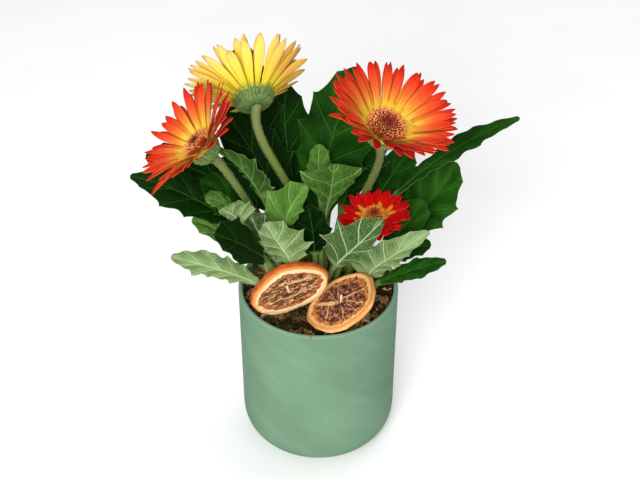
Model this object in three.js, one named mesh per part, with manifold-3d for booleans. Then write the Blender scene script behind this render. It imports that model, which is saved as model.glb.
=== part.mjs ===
// Potted gerbera: a cover pot of soil with a leaf rosette, four blooms and two dried orange slices.
// Millimetres, +Z up. The origin is the centre of the pot's flat base.
import * as THREE from "three";
import { mergeVertices } from "three/addons/utils/BufferGeometryUtils.js";
import Module from "manifold-3d";

const wasm = await Module();
wasm.setup();

// Driving dimensions of the pot and its filling.
const POT_RADIUS = 70;
const POT_HEIGHT = 161;
const POT_WALL = 4;
const POT_FLOOR = 6;
const FOOT_CORNER = 28;
const FOOT_FULLNESS = 2.5;
const POT_SIDES = 36;
const GAP = 0.3;
const SOIL_TOP = 153;
const SOIL_BUMP = 1.6;
const SOIL_BANK = 6;
const SOIL_SIDES = 18;
const STEM_FOOT = 145;
const HOLE_CLEARANCE = 1.2;

// Driving dimensions shared by every leaf.
const PETIOLE_RADIUS = 2.4;
const BLADE_THICKNESS = 1.2;
const MIDRIB = 1.3;
const TIP_HALF_WIDTH = 0.9;
const WIDEST = 0.58;
const POINT = 0.8;
const NOTCH = 0.34;
const NOTCH_FADE = 0.55;
const TOOTH_LEAN = 0.14;
const EDGE_WAVE = 0.07;
const EDGE_WAVES = 2.5;

// Driving dimensions shared by every bloom.
const SCAPE_SIDES = 10;
const SCAPE_RADIUS = 3.2;
const CUP_RINGS = [[0.14, 0.5, 0.02], [0.42, 0.84, 0.05], [0.75, 1, 0.07], [1, 0.98, 0.09]];
const RAY_THICKNESS = 0.9;
const RAY_SHAPE = [[0, 0.5], [0.68, 1], [1, 0.34]];
const RAY_FOOT = 2.6;
const OUTER_CUP = 0.85;
const INNER_CUP = 1.2;
const INNER_LENGTH = 0.93;
const HUB_THICKNESS = 3;
const DISC_LIFT = 0.9;
const DISC_SHARE = 0.86;
const DISC_DOME = 0.32;
const GOLDEN_ANGLE = Math.PI * (3 - Math.sqrt(5));

const COLOURS = {
  pot: 0x6fa083,
  soil: 0x3b2a1c,
  leafDark: 0x1f5a22,
  leafPale: 0x86a878,
  leafFresh: 0x4f8a3c,
  scape: 0x8a9a5b,
  orangeRay: 0xe8562a,
  yellowRay: 0xe6cf4e,
  redRay: 0xc8161a,
  brownDisc: 0x7a2f22,
  yellowDisc: 0xb07a2a,
  rind: 0xd98a48,
  pick: 0xe2cfa8,
};

// Every leaf is one curve from its root in the soil to its tip. rise and reach pull the curve, neck
// says how far along it the blade starts, and left and right scale the two half blades.
// The dark leaves lean back and show their upper side, the pale ones stand in front and show the lower.
const LEAVES = [
  { name: "leaf_back_right", colour: "leafDark", root: [1, 20], rise: [-7, 18, 213], reach: [6, 53, 280],
    tip: [34, 80, 331], neck: 0.26, halfWidth: 37, roll: 10, fold: 0.16, cup: 0.1, teeth: 6, left: 0.9,
    right: 1.1 },
  { name: "leaf_back_inner", colour: "leafDark", root: [11, 20], rise: [14, 30, 217], reach: [32, 58, 256],
    tip: [63, 60, 297], neck: 0.34, halfWidth: 27, roll: 4, fold: 0.16, cup: 0.1, teeth: 4 },
  { name: "leaf_back_middle", colour: "leafDark", root: [-7, 21], rise: [-5, 19, 208],
    reach: [-38, 55, 269], tip: [-27, 105, 300], neck: 0.32, halfWidth: 28, roll: -10, fold: 0.15,
    cup: 0.1, teeth: 5 },
  { name: "leaf_back_left", colour: "leafDark", root: [-12, 15], rise: [-12, 0, 205],
    reach: [-39, 22, 263], tip: [-78, 55, 301], neck: 0.36, halfWidth: 32, roll: -23, fold: 0.16, cup: 0.1,
    teeth: 5 },
  { name: "leaf_back_tall", colour: "leafDark", root: [-17, 21], rise: [-12, 15, 237],
    reach: [-66, 63, 275], tip: [-65, 115, 335], neck: 0.42, halfWidth: 29, roll: -15, fold: 0.15,
    cup: 0.1, teeth: 5 },
  { name: "leaf_left_large", colour: "leafDark", root: [-20, 5], rise: [-37, 4, 199],
    reach: [-92, -6, 264], tip: [-155, 6, 271], neck: 0.42, halfWidth: 21, roll: -32, fold: 0.2, cup: 0.1,
    teeth: 5, point: 1.25 },
  { name: "leaf_left_rear", colour: "leafDark", root: [-21, 13], rise: [-22, 8, 218],
    reach: [-84, 24, 270], tip: [-147, 46, 265], neck: 0.48, halfWidth: 24, roll: -23, fold: 0.18,
    cup: 0.1, teeth: 4 },
  { name: "leaf_left_inner", colour: "leafDark", root: [-16, -12], rise: [-30, -5, 197],
    reach: [-63, 14, 244], tip: [-98, 10, 263], neck: 0.42, halfWidth: 21, roll: -25, fold: 0.16, cup: 0.1,
    teeth: 4 },
  { name: "leaf_left_young", colour: "leafFresh", root: [-18, -3], rise: [-52, -7, 202],
    reach: [-69, -14, 268], tip: [-91, -24, 269], neck: 0.54, halfWidth: 13, roll: -47, fold: 0.06,
    cup: 0.2, teeth: 3, small: true, left: 0.5, right: 0.7, widest: 0.62 },
  { name: "leaf_left_low_dark", colour: "leafDark", root: [-24, -8], rise: [-32, -18, 194],
    reach: [-49, -53, 244], tip: [-81, -67, 266], neck: 0.5, halfWidth: 22, roll: -47, fold: 0.28,
    cup: 0.1, teeth: 4, left: 1, right: 1, widest: 0.56 },
  { name: "leaf_left_low", colour: "leafPale", root: [-25, -16], rise: [-30, -14, 170],
    reach: [-77, -31, 202], tip: [-121, -36, 220], neck: 0.4, halfWidth: 17, roll: 78, fold: 0.2, cup: 0.1,
    teeth: 5 },
  { name: "leaf_front_left", colour: "leafPale", root: [-9, -19], rise: [-19, -11, 173],
    reach: [-42, -17, 200], tip: [-56, -21, 254], neck: 0.54, halfWidth: 20, roll: 100, fold: 0.1,
    cup: 0.1, teeth: 4, notch: 0.42, left: 0.9, right: 1.05, widest: 0.6 },
  { name: "leaf_front_ribbed", colour: "leafPale", root: [-3, -14], rise: [-11, -3, 172],
    reach: [-24, -39, 219], tip: [-43, -28, 249], neck: 0.56, halfWidth: 28, roll: 64, fold: 0.06,
    cup: 0.1, teeth: 4, widest: 0.48, right: 0.7, left: 1.1, notch: 0.46 },
  { name: "leaf_centre_round", colour: "leafFresh", root: [-8, -8], rise: [-28, -5, 191],
    reach: [-42, -19, 241], tip: [-9, 3, 263], neck: 0.66, halfWidth: 18, roll: 8, fold: 0.28, cup: 0.1,
    teeth: 3, left: 1.6, right: 0.65, widest: 0.32 },
  { name: "leaf_centre_fan", colour: "leafFresh", root: [11, -15], rise: [-10, 4, 202],
    reach: [13, 6, 244], tip: [13, 15, 277], neck: 0.52, halfWidth: 25, roll: 27, fold: 0.32, cup: 0.1,
    teeth: 4, widest: 0.8, left: 1.45, right: 1 },
  { name: "leaf_centre_upright", colour: "leafFresh", root: [3, 7], rise: [11, 12, 199],
    reach: [-3, 20, 247], tip: [1, 34, 284], neck: 0.68, halfWidth: 12, roll: 0, fold: 0.12, cup: 0.1,
    teeth: 3, small: true, left: 0.85, right: 1, widest: 0.52 },
  { name: "leaf_left_upper", colour: "leafFresh", root: [-12, 7], rise: [-38, 6, 187],
    reach: [-31, -7, 282], tip: [-88, 9, 297], neck: 0.62, halfWidth: 13, roll: 52, fold: 0.36, cup: 0.1,
    teeth: 5, left: 1.5, right: 1.1, widest: 0.32 },
  { name: "leaf_right_long", colour: "leafDark", root: [24, 17], rise: [30, 8, 230], reach: [98, 40, 275],
    tip: [167, 40, 306], neck: 0.42, halfWidth: 12, roll: 15, fold: 0.22, cup: 0.1, teeth: 5, point: 1.3 },
  { name: "leaf_right_large", colour: "leafDark", root: [21, 0], rise: [43, 5, 198], reach: [97, 25, 214],
    tip: [116, 24, 272], neck: 0.36, halfWidth: 26, roll: 32, fold: 0.16, cup: 0.1, teeth: 5 },
  { name: "leaf_right_round", colour: "leafDark", root: [17, -8], rise: [35, -2, 185],
    reach: [72, -8, 217], tip: [87, 1, 251], neck: 0.56, halfWidth: 15, roll: 53, fold: 0.12, cup: 0.1,
    teeth: 3, small: true },
  { name: "leaf_right_curled", colour: "leafDark", root: [13, 5], rise: [17, 2, 196], reach: [49, 39, 225],
    tip: [81, 64, 261], neck: 0.54, halfWidth: 19, roll: 36, fold: 0.2, cup: 0.1, teeth: 4 },
  { name: "leaf_front_right_large", colour: "leafPale", root: [29, -8], rise: [47, 0, 189],
    reach: [44, -34, 201], tip: [89, -40, 249], neck: 0.3, halfWidth: 25, roll: -68, fold: 0.16, cup: 0.1,
    teeth: 5, widest: 0.32, right: 1.15, left: 0.6, notch: 0.42 },
  { name: "leaf_front_right", colour: "leafPale", root: [8, -1], rise: [6, 9, 180], reach: [19, -46, 218],
    tip: [51, -46, 265], neck: 0.46, halfWidth: 31, roll: -68, fold: 0.04, cup: 0.1, teeth: 4,
    widest: 0.44, notch: 0.4, left: 0.4, right: 0.95 },
  { name: "leaf_right_low", colour: "leafDark", root: [26, -16], rise: [32, -17, 173],
    reach: [72, -24, 193], tip: [107, -26, 207], neck: 0.42, halfWidth: 10, roll: 33, fold: 0.2, cup: 0.1,
    teeth: 4, point: 1.1 },
  { name: "leaf_right_hooked", colour: "leafDark", root: [31, 0], rise: [42, 1, 176], reach: [60, -4, 205],
    tip: [95, -12, 213], neck: 0.52, halfWidth: 13, roll: 27, fold: 0.2, cup: 0.1, teeth: 3, small: true },
  { name: "leaf_left_small", colour: "leafFresh", root: [-28, 2], rise: [-35, -3, 167],
    reach: [-64, -5, 219], tip: [-105, -10, 238], neck: 0.55, halfWidth: 12, roll: -35, fold: 0.2,
    cup: 0.1, teeth: 3, small: true },
  { name: "leaf_left_curled", colour: "leafPale", root: [-27, -24], rise: [-42, -19, 188],
    reach: [-55, -19, 251], tip: [-77, -46, 275], neck: 0.76, halfWidth: 17, roll: 76, fold: 0.12,
    cup: 0.1, teeth: 3, small: true, left: 1.25, right: 0.4, widest: 0.38 },
  { name: "leaf_centre_low", colour: "leafDark", root: [1, -22], rise: [-5, -10, 170], reach: [1, -6, 201],
    tip: [-9, 7, 241], neck: 0.6, halfWidth: 20, roll: -23, fold: 0.42, cup: 0.1, teeth: 3, small: true,
    left: 0.95, right: 0.9, widest: 0.56 },
  { name: "leaf_rear_left", colour: "leafDark", root: [-12, 28], rise: [-20, 40, 196],
    reach: [-56, 84, 226], tip: [-92, 108, 218], neck: 0.42, halfWidth: 25, roll: -12, fold: 0.2, cup: 0.1,
    teeth: 4 },
  { name: "leaf_rear", colour: "leafDark", root: [4, 28], rise: [8, 44, 200], reach: [14, 92, 236],
    tip: [20, 136, 226], neck: 0.42, halfWidth: 26, roll: 0, fold: 0.2, cup: 0.1, teeth: 4 },
  { name: "leaf_rear_right", colour: "leafDark", root: [18, 25], rise: [28, 34, 190], reach: [67, 68, 222],
    tip: [107, 90, 215], neck: 0.42, halfWidth: 24, roll: 8, fold: 0.2, cup: 0.1, teeth: 4 },
];

// Every bloom sits at its centre and faces along its axis, on a scape curved from its root as a leaf is.
// Its ray florets stand in two layers that rise by the cup height between the hub and the tips.
const BLOOMS = [
  { name: "bloom_right", ray: "orangeRay", floret: "brownDisc", centre: [53, 0, 321],
    axis: [0.3, -0.28, 0.9], root: [16, 13], rise: [27, 39, 231], radius: 56, hub: 16, cup: 24,
    cupDepth: 15, outer: 21, inner: 18, rayHalfWidth: 4.4, discRadius: 17, florets: 30,
    reach: [62, 29, 264] },
  { name: "bloom_left", ray: "orangeRay", floret: "brownDisc", centre: [-93, -10, 311],
    axis: [-0.64, -0.04, 0.77], root: [-4, 3], rise: [-41, -11, 219], radius: 50, hub: 13, cup: 17,
    cupDepth: 14, outer: 17, inner: 13, rayHalfWidth: 4.6, discRadius: 13, florets: 22,
    reach: [-74, 3, 282] },
  { name: "bloom_top", ray: "yellowRay", floret: "yellowDisc", centre: [-53, 35, 330],
    axis: [-0.25, 0.87, 0.41], root: [-3, 12], rise: [7, 6, 245], radius: 53, hub: 16, cup: 25,
    cupDepth: 10, outer: 17, inner: 13, rayHalfWidth: 4.6, discRadius: 14, florets: 14,
    reach: [-58, 15, 287] },
  { name: "bloom_low", ray: "redRay", floret: "yellowDisc", centre: [47, -8, 238],
    axis: [-0.15, -0.07, 0.985], root: [25, 8], rise: [26, 9, 194], radius: 32, hub: 10, cup: 6,
    cupDepth: 11, outer: 12, inner: 9, rayHalfWidth: 4.4, discRadius: 9, florets: 16, reach: [46, 8, 192] },
];

// Each slice lies at its centre and faces along its axis, with its long way along lie.
const SLICES = [
  { name: "orange_slice_left", centre: [-24, -32, 182], axis: [0.27, -0.955, -0.1],
    lie: [0.93, 0.23, 0.29], long: 33, wide: 26, thickness: 9, pickFoot: [-17, -20, 145],
    pickHead: [-26.5, -37, 189] },
  { name: "orange_slice_right", centre: [20, -37, 171], axis: [-0.43, -0.1, 0.9], lie: [0.83, 0.37, 0.44],
    long: 31, wide: 29, thickness: 6, pickFoot: [19, -36, 145], pickHead: [19.5, -38, 180] },
];
const SLICE_SIDES = 20;
const SLICE_SEGMENTS = 10;
const SLICE_RIND = 0.86;
const SLICE_RINGS = [0.06, 0.4, 0.74, SLICE_RIND, 1];
const PICK_RADIUS = 1.2;

const vector = (point) => new THREE.Vector3(...point);
const blend = (a, b, t) => a + (b - a) * t;
const easeIn = (t) => THREE.MathUtils.smoothstep(t, 0, 1);

// A repeatable draw from 0 to 1 for each whole number.
function draw(seed) {
  const value = Math.sin(seed * 12.9898) * 43758.5453;
  return value - Math.floor(value);
}

function toSolid(geometry) {
  const bare = geometry.clone();
  bare.deleteAttribute("normal");
  bare.deleteAttribute("uv");
  const merged = mergeVertices(bare, 1e-4);
  const vertProperties = new Float32Array(merged.attributes.position.array);
  const triVerts = new Uint32Array(merged.index.array);
  return new wasm.Manifold(new wasm.Mesh({ numProp: 3, vertProperties, triVerts }));
}

function toGeometry(solid) {
  const mesh = solid.getMesh();
  const geometry = new THREE.BufferGeometry();
  geometry.setAttribute("position", new THREE.BufferAttribute(mesh.vertProperties, 3));
  geometry.setIndex(new THREE.BufferAttribute(mesh.triVerts, 1));
  return geometry;
}

// Skins a stack of equal rings of points, closes both ends and turns the faces outwards.
function skinRings(rings, closeEnd) {
  const count = rings[0].length;
  const points = rings.flat();
  const faces = [];
  for (let row = 0; row < rings.length - 1; row += 1) {
    for (let i = 0; i < count; i += 1) {
      const a = row * count + i;
      const b = row * count + ((i + 1) % count);
      faces.push([a, b, b + count], [a, b + count, a + count]);
    }
  }
  closeEnd(0, count, true, faces);
  closeEnd((rings.length - 1) * count, count, false, faces);
  const geometry = new THREE.BufferGeometry().setFromPoints(points);
  geometry.setIndex(faces.flat());
  if (signedVolume(points, faces) < 0) {
    geometry.setIndex(faces.map(([a, b, c]) => [a, c, b]).flat());
  }
  return geometry;
}

function signedVolume(points, faces) {
  let volume = 0;
  const cross = new THREE.Vector3();
  for (const [a, b, c] of faces) {
    volume += points[a].dot(cross.crossVectors(points[b], points[c]));
  }
  return volume / 6;
}

// Closes a round ring with a fan from its first point.
function closeFan(start, count, isFoot, faces) {
  for (let i = 1; i < count - 1; i += 1) {
    const face = [start, start + i, start + i + 1];
    faces.push(isFoot ? face.reverse() : face);
  }
}

// Closes a two-sided ring, upper points first, with a ladder between its upper and lower points.
function closeLadder(start, count, isFoot, faces) {
  for (let i = 0; i < count / 2 - 1; i += 1) {
    const upper = start + i;
    const lower = start + count - 1 - i;
    for (const face of [[upper, upper + 1, lower - 1], [upper, lower - 1, lower]]) {
      faces.push(isFoot ? face.reverse() : face);
    }
  }
}

function addMesh(parent, name, geometry, colour, roughness) {
  const flat = geometry.index ? geometry.toNonIndexed() : geometry;
  flat.computeVertexNormals();
  const material = new THREE.MeshStandardMaterial({ color: COLOURS[colour], roughness, metalness: 0 });
  const mesh = new THREE.Mesh(flat, material);
  mesh.name = name;
  parent.add(mesh);
  return mesh;
}

// Pot: a straight round shell with a rounded foot and a soft lip.

// A fuller corner than a circle's, from the flat base at share 0 to the upright side at share 1.
function footCorner(size, share) {
  const angle = (share * Math.PI) / 2;
  const out = size * Math.pow(Math.sin(angle), 2 / FOOT_FULLNESS);
  const up = size * (1 - Math.pow(Math.cos(angle), 2 / FOOT_FULLNESS));
  return [out, up];
}

function potProfile() {
  const profile = [new THREE.Vector2(0, 0), new THREE.Vector2(POT_RADIUS - FOOT_CORNER, 0)];
  const cornerSteps = 6;
  for (let i = 1; i <= cornerSteps; i += 1) {
    const [out, up] = footCorner(FOOT_CORNER, i / cornerSteps);
    profile.push(new THREE.Vector2(POT_RADIUS - FOOT_CORNER + out, up));
  }
  const lip = POT_WALL / 2;
  const lipSteps = 3;
  for (let i = 0; i <= lipSteps; i += 1) {
    const angle = (i / lipSteps) * Math.PI;
    const x = POT_RADIUS - lip + lip * Math.cos(angle);
    profile.push(new THREE.Vector2(x, POT_HEIGHT - lip + lip * Math.sin(angle)));
  }
  return profile.concat(cavityProfile(0));
}

// The inside of the pot from its mouth down to the axis, drawn in by a margin.
function cavityProfile(margin) {
  const corner = FOOT_CORNER - POT_WALL;
  const centreX = POT_RADIUS - FOOT_CORNER - margin;
  const steps = 4;
  const profile = [];
  for (let i = steps; i >= 0; i -= 1) {
    const [out, up] = footCorner(corner, i / steps);
    profile.push(new THREE.Vector2(centreX + out, POT_FLOOR + margin + up));
  }
  profile.push(new THREE.Vector2(0, POT_FLOOR + margin));
  return profile;
}

function potGeometry() {
  const geometry = new THREE.LatheGeometry(potProfile(), POT_SIDES);
  geometry.rotateX(Math.PI / 2);
  return geometry;
}

// Soil: fills the cavity, bumpy on top and banked up towards the right, with a hole for each stem.

function soilHeight(x, y) {
  const bumps = Math.sin(x * 0.21 + 1.3) * Math.cos(y * 0.19) + 0.6 * Math.sin(x * 0.43 - y * 0.37);
  const bank = THREE.MathUtils.smoothstep(x, 28, 62) * THREE.MathUtils.smoothstep(y, -58, -5);
  return SOIL_TOP + SOIL_BUMP * bumps + SOIL_BANK * bank;
}

function soilGeometry(holes) {
  const margin = GAP + 0.3;
  const cavity = cavityProfile(margin).reverse();
  const edge = cavity[cavity.length - 1].x;
  const topRings = 3;
  const profile = [...cavity];
  for (let i = 0; i <= topRings; i += 1) {
    profile.push(new THREE.Vector2(edge * (1 - i / topRings), SOIL_TOP));
  }
  const geometry = new THREE.LatheGeometry(profile, SOIL_SIDES);
  geometry.rotateX(Math.PI / 2);
  const place = geometry.attributes.position;
  for (let i = 0; i < place.count; i += 1) {
    if (place.getZ(i) > SOIL_TOP - 1) {
      place.setZ(i, soilHeight(place.getX(i), place.getY(i)));
    }
  }
  let solid = toSolid(geometry);
  for (const hole of holes) {
    solid = solid.subtract(toSolid(hole));
  }
  return toGeometry(solid);
}

// The straight way from a stem's root to where it leaves the soil.
function wayOut(spine) {
  const root = spine.getPoint(0);
  const step = 0.02;
  let t = step;
  while (spine.getPoint(t).z < SOIL_TOP + SOIL_BANK) {
    t += step;
  }
  return spine.getPoint(t).sub(root).normalize();
}

// A plain hole along the first stretch of a stem.
function stemHole(foot, direction, radius) {
  const sides = 5;
  const reach = 34;
  const below = 1.5;
  const size = (radius + HOLE_CLEARANCE) / Math.cos(Math.PI / sides);
  const hole = new THREE.CylinderGeometry(size, size, reach, sides);
  const middle = direction.clone().multiplyScalar(reach / 2 - below).add(foot);
  const turn = new THREE.Quaternion().setFromUnitVectors(new THREE.Vector3(0, 1, 0), direction);
  hole.applyQuaternion(turn);
  hole.translate(middle.x, middle.y, middle.z);
  return hole;
}

// Leaves: a petiole that widens into a toothed blade, folded along its midrib and waved at its edges.

function leafSpine(leaf) {
  const root = new THREE.Vector3(...leaf.root, STEM_FOOT);
  return new THREE.CubicBezierCurve3(root, vector(leaf.rise), vector(leaf.reach), vector(leaf.tip));
}

// The blade's half width at u, 0 at the neck and 1 at the tip, without its teeth. It is widest at
// the leaf's own widest, and a higher point draws the tip out finer.
function bladeShape(leaf, u) {
  const power = Math.log(0.5) / Math.log(leaf.widest ?? WIDEST);
  return Math.pow(Math.sin(Math.PI * Math.pow(u, power)), leaf.point ?? POINT);
}

function leafStations(leaf) {
  const petioleSteps = 3;
  const stations = [];
  for (let i = 0; i < petioleSteps; i += 1) {
    stations.push({ t: (leaf.neck * i) / petioleSteps, u: -1, tooth: 1, lean: 0 });
  }
  const bladeSteps = leaf.teeth * 2;
  for (let i = 0; i <= bladeSteps; i += 1) {
    const u = i / bladeSteps;
    const isTooth = i % 2 === 1;
    const tooth = isTooth ? 1 : 1 - (leaf.notch ?? NOTCH) * (1 - NOTCH_FADE * u);
    stations.push({ t: blend(leaf.neck, 1, u), u, tooth, lean: isTooth ? TOOTH_LEAN : 0 });
  }
  return stations;
}

// One ring of the leaf at a station, as wide as the petiole or the blade is there. across holds the
// places over the blade from -1 at its right edge to 1 at its left.
function leafRing(leaf, spine, station, across) {
  const place = spine.getPoint(station.t);
  const along = spine.getTangent(station.t);
  const heading = Math.atan2(leaf.tip[1] - leaf.root[1], leaf.tip[0] - leaf.root[0]);
  const side = new THREE.Vector3(-Math.sin(heading), Math.cos(heading), 0);
  side.addScaledVector(along, -side.dot(along)).normalize();
  side.applyAxisAngle(along, THREE.MathUtils.degToRad(leaf.roll));
  const face = new THREE.Vector3().crossVectors(along, side);
  const isBlade = station.u >= 0;
  const isTip = station.u === 1;
  const flattening = 4;
  const blade = isBlade ? easeIn(Math.min(1, station.u * flattening)) : 0;
  const spread = isBlade && !isTip ? bladeShape(leaf, station.u) * station.tooth : 0;
  const endWidth = isTip ? TIP_HALF_WIDTH : PETIOLE_RADIUS;
  const phase = 0.13 * leaf.halfWidth;
  const upper = [];
  const lower = [];
  for (const v of across) {
    const reach = (v < 0 ? leaf.right ?? 1 : leaf.left ?? 1) * leaf.halfWidth;
    const half = blend(endWidth, reach, spread);
    const ripple = Math.sin(Math.PI * 2 * (EDGE_WAVES * station.u + 0.2 * Math.sign(v) + phase));
    const bend = leaf.fold * Math.abs(v) + (EDGE_WAVE * ripple - leaf.cup) * v * v;
    const lift = spread * reach * bend;
    const round = 2 * PETIOLE_RADIUS * Math.sqrt(1 - 0.8 * v * v);
    const thickness = blend(round, BLADE_THICKNESS, blade);
    const rib = v === 0 && isBlade ? MIDRIB * blade * (1 - station.u) : 0;
    const middle = place.clone().addScaledVector(side, half * v).addScaledVector(face, lift);
    middle.addScaledVector(along, station.lean * spread * reach * v * v);
    upper.push(middle.clone().addScaledVector(face, thickness / 2));
    lower.push(middle.clone().addScaledVector(face, -thickness / 2 - rib));
  }
  return upper.concat(lower.reverse());
}

function leafGeometry(leaf) {
  const spine = leafSpine(leaf);
  const across = leaf.small ? [-1, 0, 1] : [-1, -0.5, 0, 0.5, 1];
  const rings = leafStations(leaf).map((station) => leafRing(leaf, spine, station, across));
  return skinRings(rings, closeLadder);
}

// Blooms: a scape that opens into a cup of bracts, a hub with two layers of rays, and a floret disc.

function scapeSpine(bloom) {
  const axis = vector(bloom.axis).normalize();
  const root = new THREE.Vector3(...bloom.root, STEM_FOOT);
  const cupFoot = vector(bloom.centre).addScaledVector(axis, -bloom.cupDepth - HUB_THICKNESS / 2 - GAP);
  return new THREE.CubicBezierCurve3(root, vector(bloom.rise), vector(bloom.reach), cupFoot);
}

// The scape is round. The cup's rings each give their share of its depth, of the hub's radius, and how
// far its ribs stand out.
function scapeGeometry(bloom) {
  const spine = scapeSpine(bloom);
  const axis = vector(bloom.axis).normalize();
  const steps = 6;
  const rings = [];
  const side = new THREE.Vector3(1, 0, 0);
  const ring = (place, along, radius, rib) => {
    side.addScaledVector(along, -side.dot(along)).normalize();
    const points = [];
    for (let i = 0; i < SCAPE_SIDES; i += 1) {
      const reach = radius * (i % 2 === 0 ? 1 + rib : 1 - rib);
      const spoke = side.clone().applyAxisAngle(along, (i / SCAPE_SIDES) * Math.PI * 2);
      points.push(place.clone().addScaledVector(spoke, reach));
    }
    return points;
  };
  for (let i = 0; i <= steps; i += 1) {
    rings.push(ring(spine.getPoint(i / steps), spine.getTangent(i / steps), SCAPE_RADIUS, 0));
  }
  const foot = spine.getPoint(1);
  for (const [rise, width, rib] of CUP_RINGS) {
    rings.push(ring(foot.clone().addScaledVector(axis, rise * bloom.cupDepth), axis, width * bloom.hub, rib));
  }
  return skinRings(rings, closeFan);
}

// One ray floret along +X, from inside the hub to its pointed tip.
function rayGeometry(bloom, base, cup, length, halfWidth) {
  const start = bloom.hub - RAY_FOOT;
  const rings = RAY_SHAPE.map(([u, width]) => {
    const x = blend(start, length, u);
    const z = base + cup * (1.3 * u - 0.3 * u * u);
    const y = width * halfWidth;
    return [[x, -y, z], [x, y, z], [x, y, z + RAY_THICKNESS], [x, -y, z + RAY_THICKNESS]].map(vector);
  });
  return skinRings(rings, closeFan);
}

function raysGeometry(bloom, seed) {
  const hubSides = 20;
  const hub = new THREE.CylinderGeometry(bloom.hub, bloom.hub, HUB_THICKNESS, hubSides);
  hub.rotateX(Math.PI / 2);
  let solid = toSolid(hub);
  const layers = [
    { count: bloom.outer, base: -1.2, cup: bloom.cup * OUTER_CUP, length: bloom.radius, shift: 0 },
    { count: bloom.inner, base: 0.2, cup: bloom.cup * INNER_CUP, length: bloom.radius * INNER_LENGTH,
      shift: 0.5 },
  ];
  for (const layer of layers) {
    for (let i = 0; i < layer.count; i += 1) {
      const luck = draw(seed + i * 3 + layer.count);
      const turn = ((i + layer.shift + 0.3 * (luck - 0.5)) / layer.count) * Math.PI * 2;
      const length = layer.length * blend(0.93, 1, draw(seed + i * 7 + 1));
      const cup = layer.cup + blend(-1.5, 1.5, draw(seed + i * 5 + 2));
      const ray = rayGeometry(bloom, layer.base, cup, length, bloom.rayHalfWidth);
      solid = solid.add(toSolid(ray.rotateZ(turn)));
    }
  }
  return toGeometry(solid);
}

// The disc: a low dome set with florets along a golden-angle spiral.
function discGeometry(bloom) {
  const foot = HUB_THICKNESS / 2 + GAP + DISC_LIFT;
  const edge = 1.2;
  const domeHeight = bloom.discRadius * DISC_DOME;
  const radius = bloom.discRadius * DISC_SHARE;
  const profile = [new THREE.Vector2(0, foot), new THREE.Vector2(radius, foot)];
  profile.push(new THREE.Vector2(radius, foot + edge));
  profile.push(new THREE.Vector2(radius * 0.6, foot + edge + domeHeight * 0.75));
  profile.push(new THREE.Vector2(0, foot + edge + domeHeight));
  let solid = toSolid(new THREE.LatheGeometry(profile, 14).rotateX(Math.PI / 2));
  for (let i = 0; i < bloom.florets; i += 1) {
    const share = Math.sqrt((i + 0.6) / bloom.florets);
    const angle = i * GOLDEN_ANGLE;
    const size = blend(1, 1.9, share);
    const floret = new THREE.ConeGeometry(size, 3.4 + 1.4 * share, 3).rotateX(Math.PI / 2);
    floret.rotateY(share * 0.7);
    const rise = 2 * edge + domeHeight * (1 - share * share);
    floret.translate(share * radius * 0.94, 0, foot + rise);
    solid = solid.add(toSolid(floret.rotateZ(angle)));
  }
  return toGeometry(solid);
}

// Dried orange slices: a raised rind round sunken flesh, with the membranes standing up as spokes.

function slicePoint(slice, share, angle, isTop) {
  const segment = Math.cos(angle * SLICE_SEGMENTS);
  const isRind = share > SLICE_RIND - 0.01;
  const half = slice.thickness / 2;
  const flesh = half * (0.5 + 0.18 * segment * (share > 0.2 ? 1 : 0));
  const edge = share > 0.99 ? 0.55 * half : half;
  const wobble = 1 + 0.025 * Math.sin(angle * 2 + 1) + 0.02 * Math.sin(angle * 5);
  const x = slice.long * share * Math.cos(angle) * wobble;
  const y = slice.wide * share * Math.sin(angle) * wobble;
  const bowl = slice.thickness * 0.35 * (share * share - 0.4) * Math.cos(angle * 2);
  return new THREE.Vector3(x, y, bowl + (isTop ? 1 : -1) * (isRind ? edge : flesh));
}

function sliceGeometry(slice) {
  const rings = [];
  const ringAt = (share, isTop) => {
    const points = [];
    for (let i = 0; i < SLICE_SIDES; i += 1) {
      points.push(slicePoint(slice, share, (i / SLICE_SIDES) * Math.PI * 2, isTop));
    }
    return points;
  };
  SLICE_RINGS.forEach((share) => rings.push(ringAt(share, true)));
  [...SLICE_RINGS].reverse().forEach((share) => rings.push(ringAt(share, false)));
  const geometry = skinRings(rings, closeFan);
  const facing = vector(slice.axis).normalize();
  const along = vector(slice.lie);
  along.addScaledVector(facing, -along.dot(facing)).normalize();
  const across = new THREE.Vector3().crossVectors(facing, along);
  geometry.applyMatrix4(new THREE.Matrix4().makeBasis(along, across, facing));
  geometry.translate(...slice.centre);
  return toGeometry(toSolid(geometry).subtract(toSolid(pickRod(slice, PICK_RADIUS + GAP, 6))));
}

// A round rod along the slice's pick, longer than the pick by a margin at each end.
function pickRod(slice, radius, margin) {
  const foot = vector(slice.pickFoot);
  const head = vector(slice.pickHead);
  const direction = head.clone().sub(foot).normalize();
  const length = foot.distanceTo(head) + margin * 2;
  const rod = new THREE.CylinderGeometry(radius, radius, length, 8);
  rod.applyQuaternion(new THREE.Quaternion().setFromUnitVectors(new THREE.Vector3(0, 1, 0), direction));
  rod.translate(...foot.add(head).multiplyScalar(0.5).toArray());
  return rod;
}

const pottedGerbera = new THREE.Group();
const holes = [];

for (const leaf of LEAVES) {
  const spine = leafSpine(leaf);
  holes.push(stemHole(spine.getPoint(0), wayOut(spine), PETIOLE_RADIUS));
  addMesh(pottedGerbera, leaf.name, leafGeometry(leaf), leaf.colour, 0.6);
}

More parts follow.
